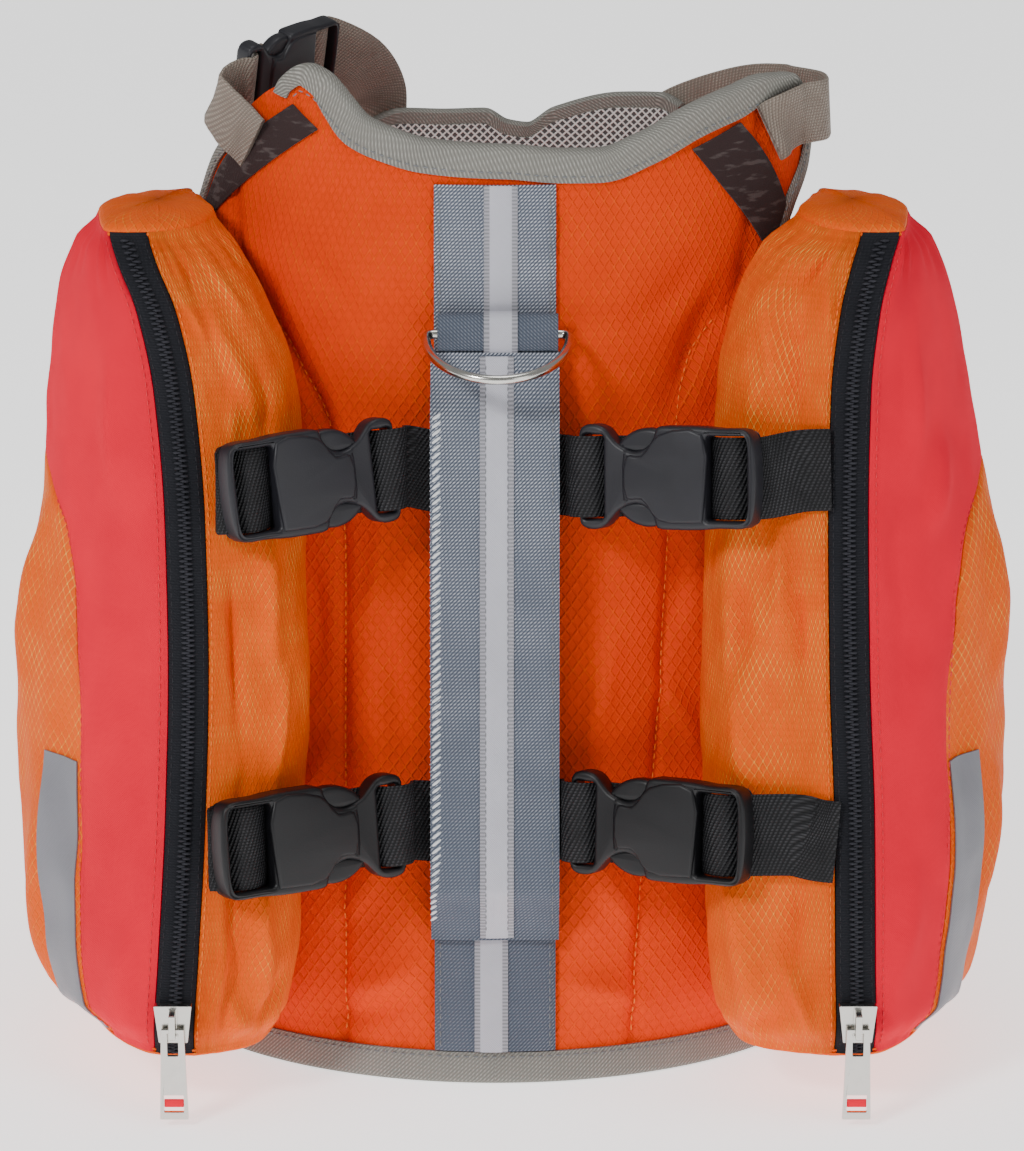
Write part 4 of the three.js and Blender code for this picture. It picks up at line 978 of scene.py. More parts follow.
def build_lead_ring():
    turns = spaced(-112, 238, 44)
    rings = []
    layers = ((1.4 + 0.6, 4.6), (1.4 + 2.0, 6.0))
    half = STRIP_WIDTH / 2 - 0.3
    for x in spaced(-half, half, 30):
        droop = 0.25 * math.cos(x / half * 2.2)
        outline = []
        for (deep, tall), order in zip(layers, (turns, turns[::-1])):
            for turn in order:
                angle = math.radians(turn)
                outline.append(Vector((
                    RING_BAR.x + x, RING_BAR.y - math.cos(angle) * (deep + droop),
                    RING_BAR.z + 0.5 + math.sin(angle) * tall)))
        rings.append(outline)
    made = swept(rings, False)
    add_piece("ring_loop_cloth", made[0], "blue_grey_twill", ["ring_loop"])

    deep, tall = (value + 0.25 for value in layers[1])

    def over_loop(u, turn, lift):
        angle = math.radians(turn)
        return Vector((RING_BAR.x + 0.9 + u, RING_BAR.y - math.cos(angle) * (deep + lift),
                       RING_BAR.z + 0.5 + math.sin(angle) * (tall + lift)))

    half_tape = REFLECTIVE_WIDTH / 2
    made = wall(over_loop, spaced(-half_tape, half_tape, 16), spaced(-70, 96, 40), 0.05, 0.5,
                lambda u, turn: (u, turn * 0.09))
    add_cloth("reflective_tape_loop_cloth", made, "reflective", [])

    half = (RING_OUTSIDE - RING_WIRE) / 2
    reach = RING_REACH - RING_WIRE
    straight = half - RING_CORNER
    path = [(x, 0.0) for x in spaced(-straight, straight, 10)]
    corner = [(straight + RING_CORNER * math.cos(math.radians(turn)),
               RING_CORNER * (1 + math.sin(math.radians(turn)))) for turn in spaced(-90, 0, 8)[1:-1]]
    bow = []
    for turn in spaced(0, 180, 64):
        angle = math.radians(turn)
        bow.append((half * math.cos(angle), RING_CORNER + (reach - RING_CORNER) * math.sin(angle)))
    path += corner + bow + [(-x, out) for x, out in reversed(corner)]
    down = math.radians(RING_DROP)
    away = Vector((0, -math.sin(down), -math.cos(down)))
    flat = Vector((0, -math.cos(down), math.sin(down)))
    centres = [RING_BAR + Vector((x, 0, 0)) + away * out for x, out in path]
    rings = []
    for k, centre in enumerate(centres):
        along = (centres[(k + 1) % len(centres)] - centres[k - 1]).normalized()
        across = along.cross(flat).normalized()
        rings.append([centre + (across * math.cos(a) + flat * math.sin(a)) * (RING_WIRE / 2)
                      for a in spaced(0, 2 * math.pi, 18)[:-1]])
    made = swept(rings, True)
    add_piece("d_ring_metal", made[0], "nickel", ["d_ring"], "lead_ring")


# Buckles and webbing

WEB = 25
WEB_WALL = 1.4
STRAP_LIFT = 8.4
BUCKLE_PLACES = table(
    "height side slope foot x0 y0 z0 x1 y1 z1",
    ("upper", "right", 0.33, 197, 27.2, -67, 190.8, 79.6, -92.5, 196.5),
    ("upper", "left", 0.33, 193, -31.5, -67, 193.4, -81, -97, 192.8),
    ("lower", "right", 0.24, 87.5, 24.8, -88.2, 85.8, 76.9, -117.5, 90.6),
    ("lower", "left", 0.24, 88, -29.6, -90.5, 85.8, -83.5, -124.8, 88.4),
)
BUCKLE_LENGTH = 62
# Half outlines of the socket's shell and of the plug's hook, seen from the front
SOCKET_OUTLINE = table(
    "s t",
    (36.6, 0), (36.4, 5), (35.9, 10), (34.8, 13.4), (32.6, 15), (24, 15.2), (17, 15.8), (8, 15.9),
    (2.6, 15.6),
    (1.6, 14.6), (1.0, 12.6), (-0.6, 10.2), (-3.2, 8.5), (-6.2, 8.0), (-9.0, 8.6), (-9.8, 8.6),
)
HOOK_OUTLINE = table(
    "s t",
    (-5, 7.2), (-9.2, 8.9), (-12, 10.4), (-14.4, 12.8), (-16.6, 15), (-19.4, 16.1), (-22.6, 16.1),
    (-24.8, 15.2), (-25.8, 13.4), (-26, 0),
)
PRONG_OUTLINE = table(
    "s t",
    (2.4, 8.4), (2.4, 14.2), (0, 15.1), (-4, 15), (-8, 13.6), (-11.4, 11), (-12.2, 9.6), (-10, 8.2),
    (-5, 7.4),
)


class BuckleFrame:
    """A buckle's own directions: along its length from plug to socket, across, and towards the looker."""

    def __init__(self, start, end, across, girth=1.0):
        self.along = (end - start).normalized()
        self.across = (across - self.along * across.dot(self.along)).normalized()
        self.out = self.along.cross(self.across).normalized()
        if self.out.y > 0:
            self.out = -self.out
        self.scale = (end - start).length / BUCKLE_LENGTH
        self.girth = girth
        self.join = start + self.along * 26 * self.scale

    def at(self, s, t, d):
        spot = self.join + self.along * s * self.scale + self.across * t * self.girth
        return spot + self.out * d * self.girth

    def matrix(self):
        basis = Matrix((
            self.along * self.scale, self.across * self.girth, self.out * self.girth,
        )).transposed().to_4x4()
        basis.translation = self.join
        return Matrix.Scale(MM, 4) @ basis


def plate(bm, outlines, depth, bevel, centre, matrix):
    """A flat plate with rounded edges from closed outlines, the later ones cut out of the first."""
    curve = bpy.data.curves.new("outline", "CURVE")
    curve.dimensions = "2D"
    curve.fill_mode = "BOTH"
    curve.extrude = depth / 2 - bevel
    curve.bevel_depth = bevel
    curve.bevel_resolution = 3
    curve.offset = -bevel
    for points in outlines:
        spline = curve.splines.new("POLY")
        spline.points.add(len(points) - 1)
        for spot, (s, t) in zip(spline.points, points):
            spot.co = (s, t, 0, 1)
        spline.use_cyclic_u = True
    holder = bpy.data.objects.new("outline", curve)
    bpy.context.scene.collection.objects.link(holder)
    bpy.context.view_layer.update()
    mesh = bpy.data.meshes.new_from_object(holder)
    mesh.transform(matrix @ Matrix.Translation((0, 0, centre)))
    bm.from_mesh(mesh)
    bpy.data.objects.remove(holder)
    bpy.data.curves.remove(curve)
    bpy.data.meshes.remove(mesh)


def smooth_outline(points, steps=3):
    """Corners drawn as a soft curve through the points of a closed outline."""
    count = len(points)
    curve = Spline([(s, t, 0) for s, t in points + points[:1]])
    return [tuple(curve.point(k / (count * steps))[:2]) for k in range(count * steps)]


def mirrored(rows):
    upper = [(row["s"], row["t"]) for row in rows]
    return upper + [(s, -t) for s, t in reversed(upper) if t != 0]


def slot_outline(low, high, half, corner=1.2):
    points = []
    for s, t, start in ((high - corner, half - corner, 0), (low + corner, half - corner, 90),
                        (low + corner, corner - half, 180), (high - corner, corner - half, 270)):
        for turn in spaced(start, start + 90, 4):
            angle = math.radians(turn)
            points.append((s + corner * math.cos(angle), t + corner * math.sin(angle)))
    return points


def build_buckle(name, grip):
    """A side-release buckle: socket shell with its slot, plug hook with its slot, and two prong pads."""
    matrix = grip.matrix()
    socket = bmesh.new()
    shell = [smooth_outline(mirrored(SOCKET_OUTLINE)), slot_outline(19.4, 33.8, 12.9)]
    plate(socket, shell, 8.4, 1.5, 0, matrix)
    body = [
        (18.6, -13.6), (18.6, 13.6), (3, 13.2), (-3, 6.8), (-8.4, 6.6), (-8.4, -6.6), (-3, -6.8), (3, -13.2),
    ]
    plate(socket, [smooth_outline(body)], 2.4, 1.1, 3.7, matrix)
    finish_plastic(socket, f"{name}_socket")

    plug = bmesh.new()
    hook = [smooth_outline(mirrored(HOOK_OUTLINE)), slot_outline(-24.0, -17.0, 12.9)]
    plate(plug, hook, 7.4, 1.4, 0.1, matrix)
    for side in (1, -1):
        pad = [(row["s"], row["t"] * side) for row in PRONG_OUTLINE]
        plate(plug, [smooth_outline(pad)], 5.6, 1.5, 0, matrix)
    finish_plastic(plug, f"{name}_plug")


def finish_plastic(bm, node):
    bmesh.ops.remove_doubles(bm, verts=bm.verts[:], dist=1e-6)
    soften(bm, 40)
    # Painted shade: the lower buckles get the darker copy of the plastic.
    finish = "lower_buckle_plastic_painted_shade" if "lower" in node else "buckle_plastic"
    add_piece(f"{node}_moulding", bm, finish, [node])


def buckle_grips():
    grips = {}
    for row in BUCKLE_PLACES:
        start = Vector((row["x0"], row["y0"], row["z0"]))
        end = Vector((row["x1"], row["y1"], row["z1"]))
        grips[row["height"], row["side"]] = BuckleFrame(start, end, Vector((0, 0.2, 1)))
    return grips


SHOULDER_PLUG = Vector((-81.7, 11.7, 300.7))
SHOULDER_ALONG = Vector((0.66, 0.74, 0.131)).normalized()
SHOULDER_DOWN = Vector((-0.133, 0.287, -0.948))
SHOULDER_BUCKLE = 42
# The shoulder buckle is this much narrower and thinner than the others
SHOULDER_GIRTH = 0.78


def shoulder_grip():
    end = SHOULDER_PLUG + SHOULDER_ALONG * SHOULDER_BUCKLE
    return BuckleFrame(SHOULDER_PLUG, end, SHOULDER_DOWN, SHOULDER_GIRTH)


def build_buckles():
    for (height, side), grip in buckle_grips().items():
        build_buckle(f"buckle_{height}_{side}", grip)
    build_buckle("buckle_shoulder", shoulder_grip())


# The webbing's rounded section, in shares of its width and thickness
RIBBON_SECTION = [
    (-0.5, -0.3), (-0.47, -0.5), (-0.25, -0.5), (0, -0.5), (0.25, -0.5), (0.47, -0.5), (0.5, -0.3),
    (0.5, 0.3), (0.47, 0.5), (0.25, 0.5), (0, 0.5), (-0.25, 0.5), (-0.47, 0.5), (-0.5, 0.3),
]


def ribbon(points, acrosses, width, thickness=WEB_WALL, step=1.2):
    """Flat webbing along given points, each with the direction of its width."""
    path = Spline(points)
    across = Spline(acrosses)
    length = sum((Vector(b) - Vector(a)).length for a, b in zip(points, points[1:]))
    rings = []
    for t in spaced(0, 1, max(int(length / step), 8)):
        centre, along, side = path.point(t), path.tangent(t), across.point(t)
        side = (side - along * side.dot(along)).normalized()
        up = along.cross(side).normalized()
        rings.append([centre + side * a * width + up * b * thickness for a, b in RIBBON_SECTION])
    return swept(rings, False, width)


# Webbing through a buckle: place along it and depth, over the hook's end bar and through the socket's slot
PLUG_RUN = table(
    "s d",
    (-10, -2.6), (-15.6, -2.2), (-18.4, 0.6), (-20.8, 3.6), (-24.6, 4.9), (-28.4, 3.2), (-31, -0.4),
)
SOCKET_RUN = table(
    "s d",
    (12, -4.6), (17.5, -3.6), (21.4, -0.2), (25.5, 1.8), (29.5, 1.2), (33, -2.6), (36, -5.0),
)


def run_points(grip, rows):
    return [grip.at(row["s"], 0, row["d"]) for row in rows]


def strap_points(height, grips):
    right, left = grips[height, "right"], grips[height, "left"]
    ends = [row for row in BUCKLE_PLACES if row["height"] == height]
    z = sum(row["z0"] for row in ends) / 2 - 2
    middle = on_back(0, z, STRAP_LIFT)
    bridge = [Vector((x, middle.y - 0.3, z)) for x in (-15, -8, 8, 15)]
    return run_points(left, PLUG_RUN) + bridge + run_points(right, PLUG_RUN)[::-1]


def build_webbing():
    grips = buckle_grips()
    upward = Vector((0, 0.2, 1))
    for height in ("upper", "lower"):
        points = strap_points(height, grips)
        made = ribbon(points, [upward] * len(points), WEB)
        add_cloth(f"strap_{height}_web", made, "black_webbing", [f"strap_{height}"])
    for row in BUCKLE_PLACES:
        height, side = row["height"], row["side"]
        grip = grips[height, side]
        surface = bag_surface(side)
        points = run_points(grip, SOCKET_RUN)
        lean = Vector((0, row["slope"], 1))
        acrosses = [upward] * len(points)
        if side == "right":
            stations = (
                (0.322, 0.25, 3.2), (0.345, 0.6, 2.0), (0.37, 0.85, 1.6), (ZIP_FROM + 0.004, 1.0, 1.4),
            )
            tail = [surface(share, mix(row["z1"], row["foot"], down), lift) for share, down, lift in stations]
        else:
            tail = [surface(share, row["z1"] - 1, 1.6) for share in (0.33, 0.29, 0.25, 0.21)]
        points += tail
        acrosses += [lean] * len(tail)
        made = ribbon(points, acrosses, WEB)
        name = f"bag_tail_{height}_{side}"
        add_cloth(f"{name}_web", made, "black_webbing", [name])
    build_shoulder_webbing()


SHOULDER_WEB = 19


def build_shoulder_webbing():
    grip = shoulder_grip()
    down = SHOULDER_DOWN
    points = [
        on_tube(-56, 284.5, 3.0), on_tube(-60, 287.5, 3.6), on_tube(-66, 291, 4.6), Vector((-89, 3, 297)),
    ]
    points += run_points(grip, PLUG_RUN)[::-1][1:]
    acrosses = [(-14, 13, -11), (-14, 13, -11), (-13, 12, -12), (-7, 10, -17)]
    acrosses += [tuple(down * 20)] * (len(points) - len(acrosses))
    made = ribbon(points, acrosses, SHOULDER_WEB)
    add_cloth("shoulder_webbing_left_web", made, "grey_webbing", ["shoulder_webbing_left"])

    points = run_points(grip, SOCKET_RUN)
    far = [Vector((-44.4, 59, 299)), on_tube(205.5, 287.5, 3.5), on_tube(204.5, 279.5, 6.2),
           on_tube(203.5, 270, 5.2)]
    acrosses = [tuple(down)] * len(points)
    acrosses += [(-0.6, -0.1, -0.78), (-0.92, -0.2, -0.33), (-0.97, -0.24, 0), (-0.97, -0.24, 0)]
    made = ribbon(points + far, acrosses, SHOULDER_WEB)
    add_cloth("chest_webbing_left_web", made, "grey_webbing", ["chest_webbing_left"])

    points = [
        on_tube(57, 287.5, 3.0), on_tube(62, 290, 3.2), on_tube(69, 291.8, 3.8), (105.5, 9, 292),
        (105.5, 24, 292.5), (95, 40, 292), (82, 56, 289),
        on_tube(143, 281, 4), on_tube(149, 275, 3.2), on_tube(156, 271, 3.0),
    ]
    acrosses = [(-13, -13, -11.5), (-12, -12, -12.5), (-10, -10, -14), (0, -3, -19), (2, 2, -19)]
    acrosses += [(0, 0, -1)] * 5
    made = ribbon(points, acrosses, SHOULDER_WEB)
    add_cloth("shoulder_webbing_right_web", made, "grey_webbing", ["shoulder_webbing_right"])


# Saddlebags, repeated from the CAD source

BAG_LEFT = table(
    "z inner zip crown outer side foot",
    (20, 69, 99, -117.5, 131, -62, 95), (30, 64.5, 98.5, -122.5, 145, -58, 95),
    (50, 61, 97, -120.5, 150.5, -54, 95), (94, 59.5, 94.5, -110.5, 153, -45, 95),
    (136, 58, 93.5, -99.5, 151, -38, 95), (180, 58.5, 94.5, -87.5, 143.5, -28, 94),
    (218, 62, 98, -75, 141, -20, 92), (242, 71, 103.5, -67, 138, -15, 90),
    (256, 80, 110, -59, 132, -12, 87), (264, 88, 113, -51, 125, -12, 84),
)
BAG_RIGHT = table(
    "z inner zip crown outer side foot",
    (20, 73, 111, -117.5, 140, -66, 95), (30, 68, 111, -122.5, 152, -60, 95),
    (50, 66.5, 110.5, -120.5, 157, -54, 95), (94, 65, 110, -110.5, 162.5, -45, 95),
    (136, 65.5, 108.5, -99.5, 162, -38, 95), (180, 67, 108, -87.5, 156, -28, 94),
    (218, 69.5, 109, -75, 149, -20, 92), (242, 75, 112, -67, 143.5, -15, 90),
    (256, 84, 116, -59, 137, -12, 87), (264, 95, 119, -51, 130, -12, 84),
)
BAG_TABLES = {"left": BAG_LEFT, "right": BAG_RIGHT}
BAG_FOOT = 20
BAG_TOP = 264
BAG_LIFT = 1.1
BAG_LIFT_TOP = 3.6
BAG_WALL = 1.2
BAG_GIRTH = 290
ZIP_HALF = 6.3
ZIP_FROM = 0.4
ZIP_TO = 0.5
JOIN = 0.0012
RED_SEAM = table(
    "z at",
    (20, 0.625), (105, 0.625), (150, 0.64), (172, 0.675), (184, 0.74), (192, 0.83), (197, 0.92), (200, 0.99),
)
SEAM_TOP = 199.5
# Creases of the bags: place round the section in millimetres from the inner foot, and height
LEFT_BAG_CREASES = table(
    "x z half turn width rise bow",
    (78, 226, 26, 68, 5.5, 2.6, 5), (66, 205, 26, 82, 4.5, -2.0, 5), (88, 196, 30, 98, 4.5, 1.8, 4),
    (70, 160, 34, 88, 5.5, 2.4, 5), (92, 140, 36, 80, 4.5, -1.9, 5), (64, 118, 28, 100, 4.5, 2.0, 4),
    (86, 76, 44, 92, 6.0, -2.6, 6), (70, 60, 36, 80, 5.0, 2.4, 5), (96, 44, 24, 108, 4.5, 1.9, 5),
    (78, 32, 18, 30, 4.0, 1.6, 4), (60, 36, 20, 140, 4.0, -1.6, 4), (100, 242, 16, 40, 4.0, 1.6, 3),
    (84, 252, 18, 150, 4.0, -1.6, 3), (66, 248, 14, 60, 3.5, 1.4, 3), (170, 210, 30, 95, 6.0, 1.5, 5),
    (158, 130, 44, 86, 7.0, -1.4, 5), (186, 96, 44, 84, 8.0, -2.0, 6), (204, 60, 40, 100, 7.0, 2.0, 6),
    (216, 150, 40, 92, 8.0, 1.8, 6), (160, 48, 26, 108, 6.0, 1.5, 5), (236, 100, 40, 90, 7.0, -1.8, 5),
)
RIGHT_BAG_CREASES = table(
    "x z half turn width rise bow",
    (70, 236, 24, 118, 5.0, 2.2, 5), (88, 222, 26, 100, 4.5, -1.8, 4), (66, 206, 24, 78, 4.5, 2.2, 4),
    (84, 166, 28, 92, 5.0, 2.0, 5), (66, 150, 30, 84, 5.0, -2.2, 5), (96, 150, 24, 100, 4.0, -1.6, 4),
    (68, 112, 34, 96, 5.5, 2.4, 5), (90, 66, 30, 76, 5.0, -2.0, 5), (66, 56, 40, 100, 6.0, 2.4, 6),
    (92, 40, 22, 130, 4.0, 1.8, 4), (74, 30, 16, 20, 3.5, -1.6, 4), (104, 246, 16, 130, 4.0, 1.6, 3),
    (84, 252, 18, 30, 4.0, -1.6, 3), (172, 214, 30, 84, 6.0, 1.5, 5), (160, 150, 40, 92, 7.0, -1.3, 5),
    (188, 110, 40, 96, 8.0, -1.9, 6), (206, 70, 36, 80, 7.0, 2.0, 6), (214, 150, 40, 88, 8.0, 1.8, 6),
    (160, 56, 26, 72, 6.0, 1.5, 5), (236, 90, 40, 90, 7.0, -1.8, 5), (182, 186, 20, 60, 5.0, 1.6, 4),
)
BAG_CREASE_DEPTH = 2.2
BAG_FOLDS = {
    "left": prepared(LEFT_BAG_CREASES, BAG_CREASE_DEPTH),
    "right": prepared(RIGHT_BAG_CREASES, BAG_CREASE_DEPTH),
}
PRESSED_HEIGHT = 17
PRESSED_SHARE = 0.8
bag_sections = {}


def side_sign(side):
    return -1 if side == "left" else 1


def bag_section(side, z):
    """The bag's section at a height, from the inner foot round to the outer foot."""
    key = side, round(z, 3)
    if key in bag_sections:
        return bag_sections[key]
    rows, sign = BAG_TABLES[side], side_sign(side)
    inner, middle, crown, outer, deep, foot = (
        column(rows, "z", z, name) for name in ("inner", "zip", "crown", "outer", "side", "foot"))
    lift = mix(BAG_LIFT, BAG_LIFT_TOP, ease(z, 186, 206))
    inner_turn = abs(turn_at(sign * (inner + 2), z))
    inner_foot = on_tube(sign * inner_turn, z, lift)
    outer_foot = on_tube(sign * foot, z, lift)
    edge = middle + ZIP_HALF
    plan = [
        (inner, mix(inner_foot.y, crown, 0.45)), (inner + 5.5, mix(inner_foot.y, crown, 0.82)),
        (mix(inner, middle, 0.55), crown + 1.8), (middle - ZIP_HALF, crown), (edge, crown + 1),
        (mix(edge, outer, 0.45), mix(crown, deep, 0.22)), (mix(edge, outer, 0.85), mix(crown, deep, 0.62)),
        (outer, deep), (mix(outer, abs(outer_foot.x), 0.28), mix(deep, outer_foot.y, 0.62)),
    ]
    points = [inner_foot] + [Vector((sign * x, y, z)) for x, y in plan] + [outer_foot]
    bag_sections[key] = Spline(points), lift, inner_turn, foot
    return bag_sections[key]


def bag_surface(side):
    """A point of a bag's shell, lifted level out of it."""
    sign = side_sign(side)

    def at(t, z, lift):
        curve = bag_section(side, z)[0]
        along = curve.tangent(t)
        return curve.point(t) + Vector((-along.y, along.x, 0)).normalized() * (-sign * lift)

    return at


def red_at(z):
    return column(RED_SEAM, "z", z, "at")


def pressed_flat(side, t, z):
    """How far the buckles and the webbing tails hold the bag's cloth down, from 0 to 1."""
    held = max(math.exp(-(((z - row["foot"]) / PRESSED_HEIGHT) ** 4)) for row in BUCKLE_PLACES
               if row["side"] == side)
    return PRESSED_SHARE * held * (1 - ease(t, ZIP_FROM, ZIP_FROM + 0.02))


def bag_relief(side, t, z):
    """Folds, gathers at the ends and small ripples of a bag's cloth."""
    x = t * BAG_GIRTH
    folds = BAG_FOLDS[side]
    shape = relief(folds, x, z)
    ripple = 1.9 * noise.noise(Vector((x * 0.035, z * 0.022, 4.0 + side_sign(side))))
    fine = 0.6 * noise.noise(Vector((x * 0.11, z * 0.08, 8.0 + side_sign(side))))
    gathers = 1.5 * math.sin(x * 0.42 + 2.5 * noise.noise(Vector((x * 0.05, 0, 1.0))))
    gathers *= math.exp(-(((z - BAG_TOP) / 12) ** 2)) + 0.7 * math.exp(-(((z - BAG_FOOT) / 9) ** 2))
    ends = ease(z, BAG_FOOT, BAG_FOOT + 7) * (1 - ease(z, BAG_TOP - 7, BAG_TOP))
    feet = ease(t, 0.0, 0.05) * (1 - ease(t, 0.95, 1.0))
    return (shape + ripple + fine + gathers) * ends * feet * (1 - pressed_flat(side, t, z))


def seam_dip(distance, width=2.2, depth=0.9):
    return -depth * math.exp(-((distance / width) ** 2))


def bag_panel(name, side, start, end, heights, columns, finish, calm, dips):
    """One panel of a bag between two seams that run up it."""
    surface = bag_surface(side)
    folds_kept = 1 - calm

    def place(u, z, lift):
        return surface(mix(start(z), end(z), u), z, lift)

    def high(u, z):
        t = mix(start(z), end(z), u)
        dip = sum(seam_dip((t - seam(z)) * BAG_GIRTH) for seam in dips)
        near_zip = ease(abs(t - (ZIP_FROM + ZIP_TO) / 2), 0.052, 0.085)
        return folds_kept * bag_relief(side, t, z) * near_zip + dip

    def low(u, z):
        return high(u, z) - BAG_WALL

    def uv(u, z):
        return mix(start(z), end(z), u) * BAG_GIRTH, z

    made = wall(place, columns, heights, low, high, uv)
    return add_cloth(f"{name}_{side}_cloth", made, finish, [f"{name}_{side}"])


def fixed(value):
    return lambda z: value


def bag_end(name, side, z, rise, finish):
    """The bag's rounded end: cloth drawn from the rim to the middle."""
    surface = bag_surface(side)
    _, lift, inner_turn, foot = bag_section(side, z)
    sign = side_sign(side)
    shell = [surface(t, z, -0.2) for t in spaced(0, 1, 90)]
    body = [on_tube(sign * turn, z, lift + 0.2) for turn in spaced(foot, inner_turn, 30)[1:-1]]
    loop = shell + body
    middle = sum(loop, Vector()) / len(loop)
    count = len(loop)

    def ring(share):
        ripple = [0.5 * noise.noise(Vector((k * 0.35, share * 3, 6.0))) * math.sin(math.pi * share)
                  for k in range(count)]
        height = rise * math.sin(share * math.pi / 2) ** 0.8
        inward = 1 - math.cos(share * math.pi / 2)
        return [point.lerp(middle, inward) + Vector((0, 0, height + r)) for point, r in zip(loop, ripple)]

    outside = [ring(share) for share in spaced(0, 0.985, 26)]
    inside = [[p - Vector((0, 0, math.copysign(BAG_WALL, rise))) for p in row] for row in outside[::-1]]
    bm, _ = swept(outside + inside, False)
    add_piece(f"{name}_{side}_cloth", bm, finish, [f"{name}_{side}"])


def build_bag(side):
    rows = spaced(BAG_FOOT, BAG_TOP, 128)
    seam_rows = spaced(BAG_FOOT, 172, 72)[:-1] + spaced(172, SEAM_TOP, 34)
    red_rows = seam_rows + spaced(200.2, BAG_TOP, 34)

    def red_end(z):
        return 1.0 if z > SEAM_TOP else red_at(z) - JOIN

    bag_panel("bag_inner", side, fixed(0), fixed(ZIP_FROM - JOIN), rows, spaced(0, 1, 64),
              "bag_orange_cloth", 0, [fixed(ZIP_FROM)])
    bag_panel("bag_zip", side, fixed(ZIP_FROM + JOIN), fixed(ZIP_TO - JOIN), rows, spaced(0, 1, 14),
              "zip_tape", 1, [fixed(ZIP_FROM), fixed(ZIP_TO)])
    bag_panel("bag_red", side, fixed(ZIP_TO + JOIN), red_end, red_rows, spaced(0, 1, 56), "red_cloth", 0.35,
              [fixed(ZIP_TO), red_at])
    bag_panel("bag_side", side, lambda z: red_at(z) + JOIN, fixed(1.0), seam_rows, spaced(0, 1, 62),
              "bag_orange_cloth", 0.2, [red_at])
    surface = bag_surface(side)

    def tape_place(u, z, lift):
        t = mix(red_at(z) + JOIN, 1.0, u)
        near_seam = seam_dip((t - red_at(z)) * BAG_GIRTH)
        return surface(t, z, lift + 0.8 * bag_relief(side, t, z) + near_seam)

    # The bag's reflective tape takes the darker copy of the silver, painted shade.
    made = wall(tape_place, spaced(0.012, 0.14, 12), spaced(BAG_FOOT + 1, 104, 60), 0.2, 0.7,
                lambda u, z: (u * 110, z))
    add_cloth(f"bag_reflective_{side}_cloth", made, "bag_silver_painted_shade", [f"bag_reflective_{side}"])

    sign = side_sign(side)

    def back_place(u, z, lift):
        _, base, inner_turn, foot = bag_section(side, z)
        return on_tube(sign * mix(inner_turn + 0.6, foot - 0.6, u), z, base + lift)

    made = wall(back_place, spaced(0, 1, 30), spaced(BAG_FOOT, BAG_TOP, 60), -0.4, 0.4,
                lambda u, z: (u * 90, z))
    add_cloth(f"bag_back_{side}_cloth", made, "bag_orange_cloth", [f"bag_back_{side}"])
    bag_end("bag_top", side, BAG_TOP, 4.5, "bag_orange_cloth")
    bag_end("bag_gusset", side, BAG_FOOT, -4.0, "bag_orange_cloth")
    build_zip_teeth(side)


TOOTH_PITCH = 1.5


def build_zip_teeth(side):
    """The zip's two rows of teeth, one bar for each turn of the coil."""
    surface = bag_surface(side)
    bm = bmesh.new()
    middle = (ZIP_FROM + ZIP_TO) / 2
    count = int((BAG_TOP - BAG_FOOT - 2) / TOOTH_PITCH)
    for k in range(count):
        z = BAG_FOOT + 1 + k * TOOTH_PITCH
        for offset, shift in ((-0.0056, 0.0), (0.0056, 0.5)):
            centre = surface(middle + offset, z + shift * TOOTH_PITCH, 0.7)
            here = middle + offset
            across = (surface(here + 0.002, z, 0.7) - surface(here - 0.002, z, 0.7)).normalized()
            up = (surface(here, z + 1, 0.7) - surface(here, z - 1, 0.7)).normalized()
            out = up.cross(across).normalized()
            basis = Matrix((across * 3.2, up * 1.0, out * 1.3)).transposed().to_4x4()
            basis.translation = centre
            bmesh.ops.create_icosphere(bm, subdivisions=1, radius=0.5, matrix=Matrix.Scale(MM, 4) @ basis)
    soften(bm, 80)
    add_piece(f"zip_teeth_{side}", bm, "zip_tape")


def build_saddlebags():
    for side in ("left", "right"):
        build_bag(side)


# Zip hardware keeps its CAD form, with worn edges and a plain red bar in the pull's lower window


def build_zip_hardware():
    metal = finish_of("nickel")
    for side in ("left", "right"):
        for part, edge in (("slider", 0.5), ("pull", 0.3)):
            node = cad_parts[f"zip_{part}_{side}"]
            for slot in node.material_slots:
                slot.material = metal
            weld = node.modifiers.new("weld", "WELD")
            weld.merge_threshold = 1e-6
            bevel = node.modifiers.new("rounded edges", "BEVEL")
            bevel.width = edge * MM
            bevel.segments = 3
            bevel.limit_method = "ANGLE"
        low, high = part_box(f"zip_pull_{side}")
        middle = (low + high) / 2
        bm = bmesh.new()
        size = Vector((6.0, 0.7, 2.6)) * MM
        spot = Vector((middle.x, middle.y, low.z + 5.2 * MM)) - TO_BOX_MIDDLE
        place = Matrix.Translation(spot) @ Matrix.Diagonal((*size, 1))
        bmesh.ops.create_cube(bm, size=1.0, matrix=place)
        bmesh.ops.bevel(bm, geom=bm.edges[:], offset=0.2 * MM, segments=2, affect="EDGES", profile=0.5,
                        material=-1)
        soften(bm, 60)
        add_piece(f"zip_pull_bar_{side}", bm, "red_cloth", body=f"zip_pull_{side}")


# Stitching: one small bead for each stitch


def stitch_run(bm, points, normals, pitch=3.0, length=2.2, width=0.55):
    """Beads at even steps along a line that lies on cloth."""
    travelled = 0.0
    goal = pitch / 2
    for a, b, normal in zip(points, points[1:], normals):
        step = (b - a).length
        if step < 1e-6:
            continue
        along = (b - a) / step
        side = along.cross(normal).normalized()
        out = side.cross(along).normalized()
        while goal <= travelled + step:
            centre = a + along * (goal - travelled) + out * 0.05
            basis = Matrix((along * length, side * width, out * width)).transposed().to_4x4()
            basis.translation = centre
            bmesh.ops.create_icosphere(bm, subdivisions=1, radius=0.5, matrix=Matrix.Scale(MM, 4) @ basis)
            goal += pitch
        travelled += step


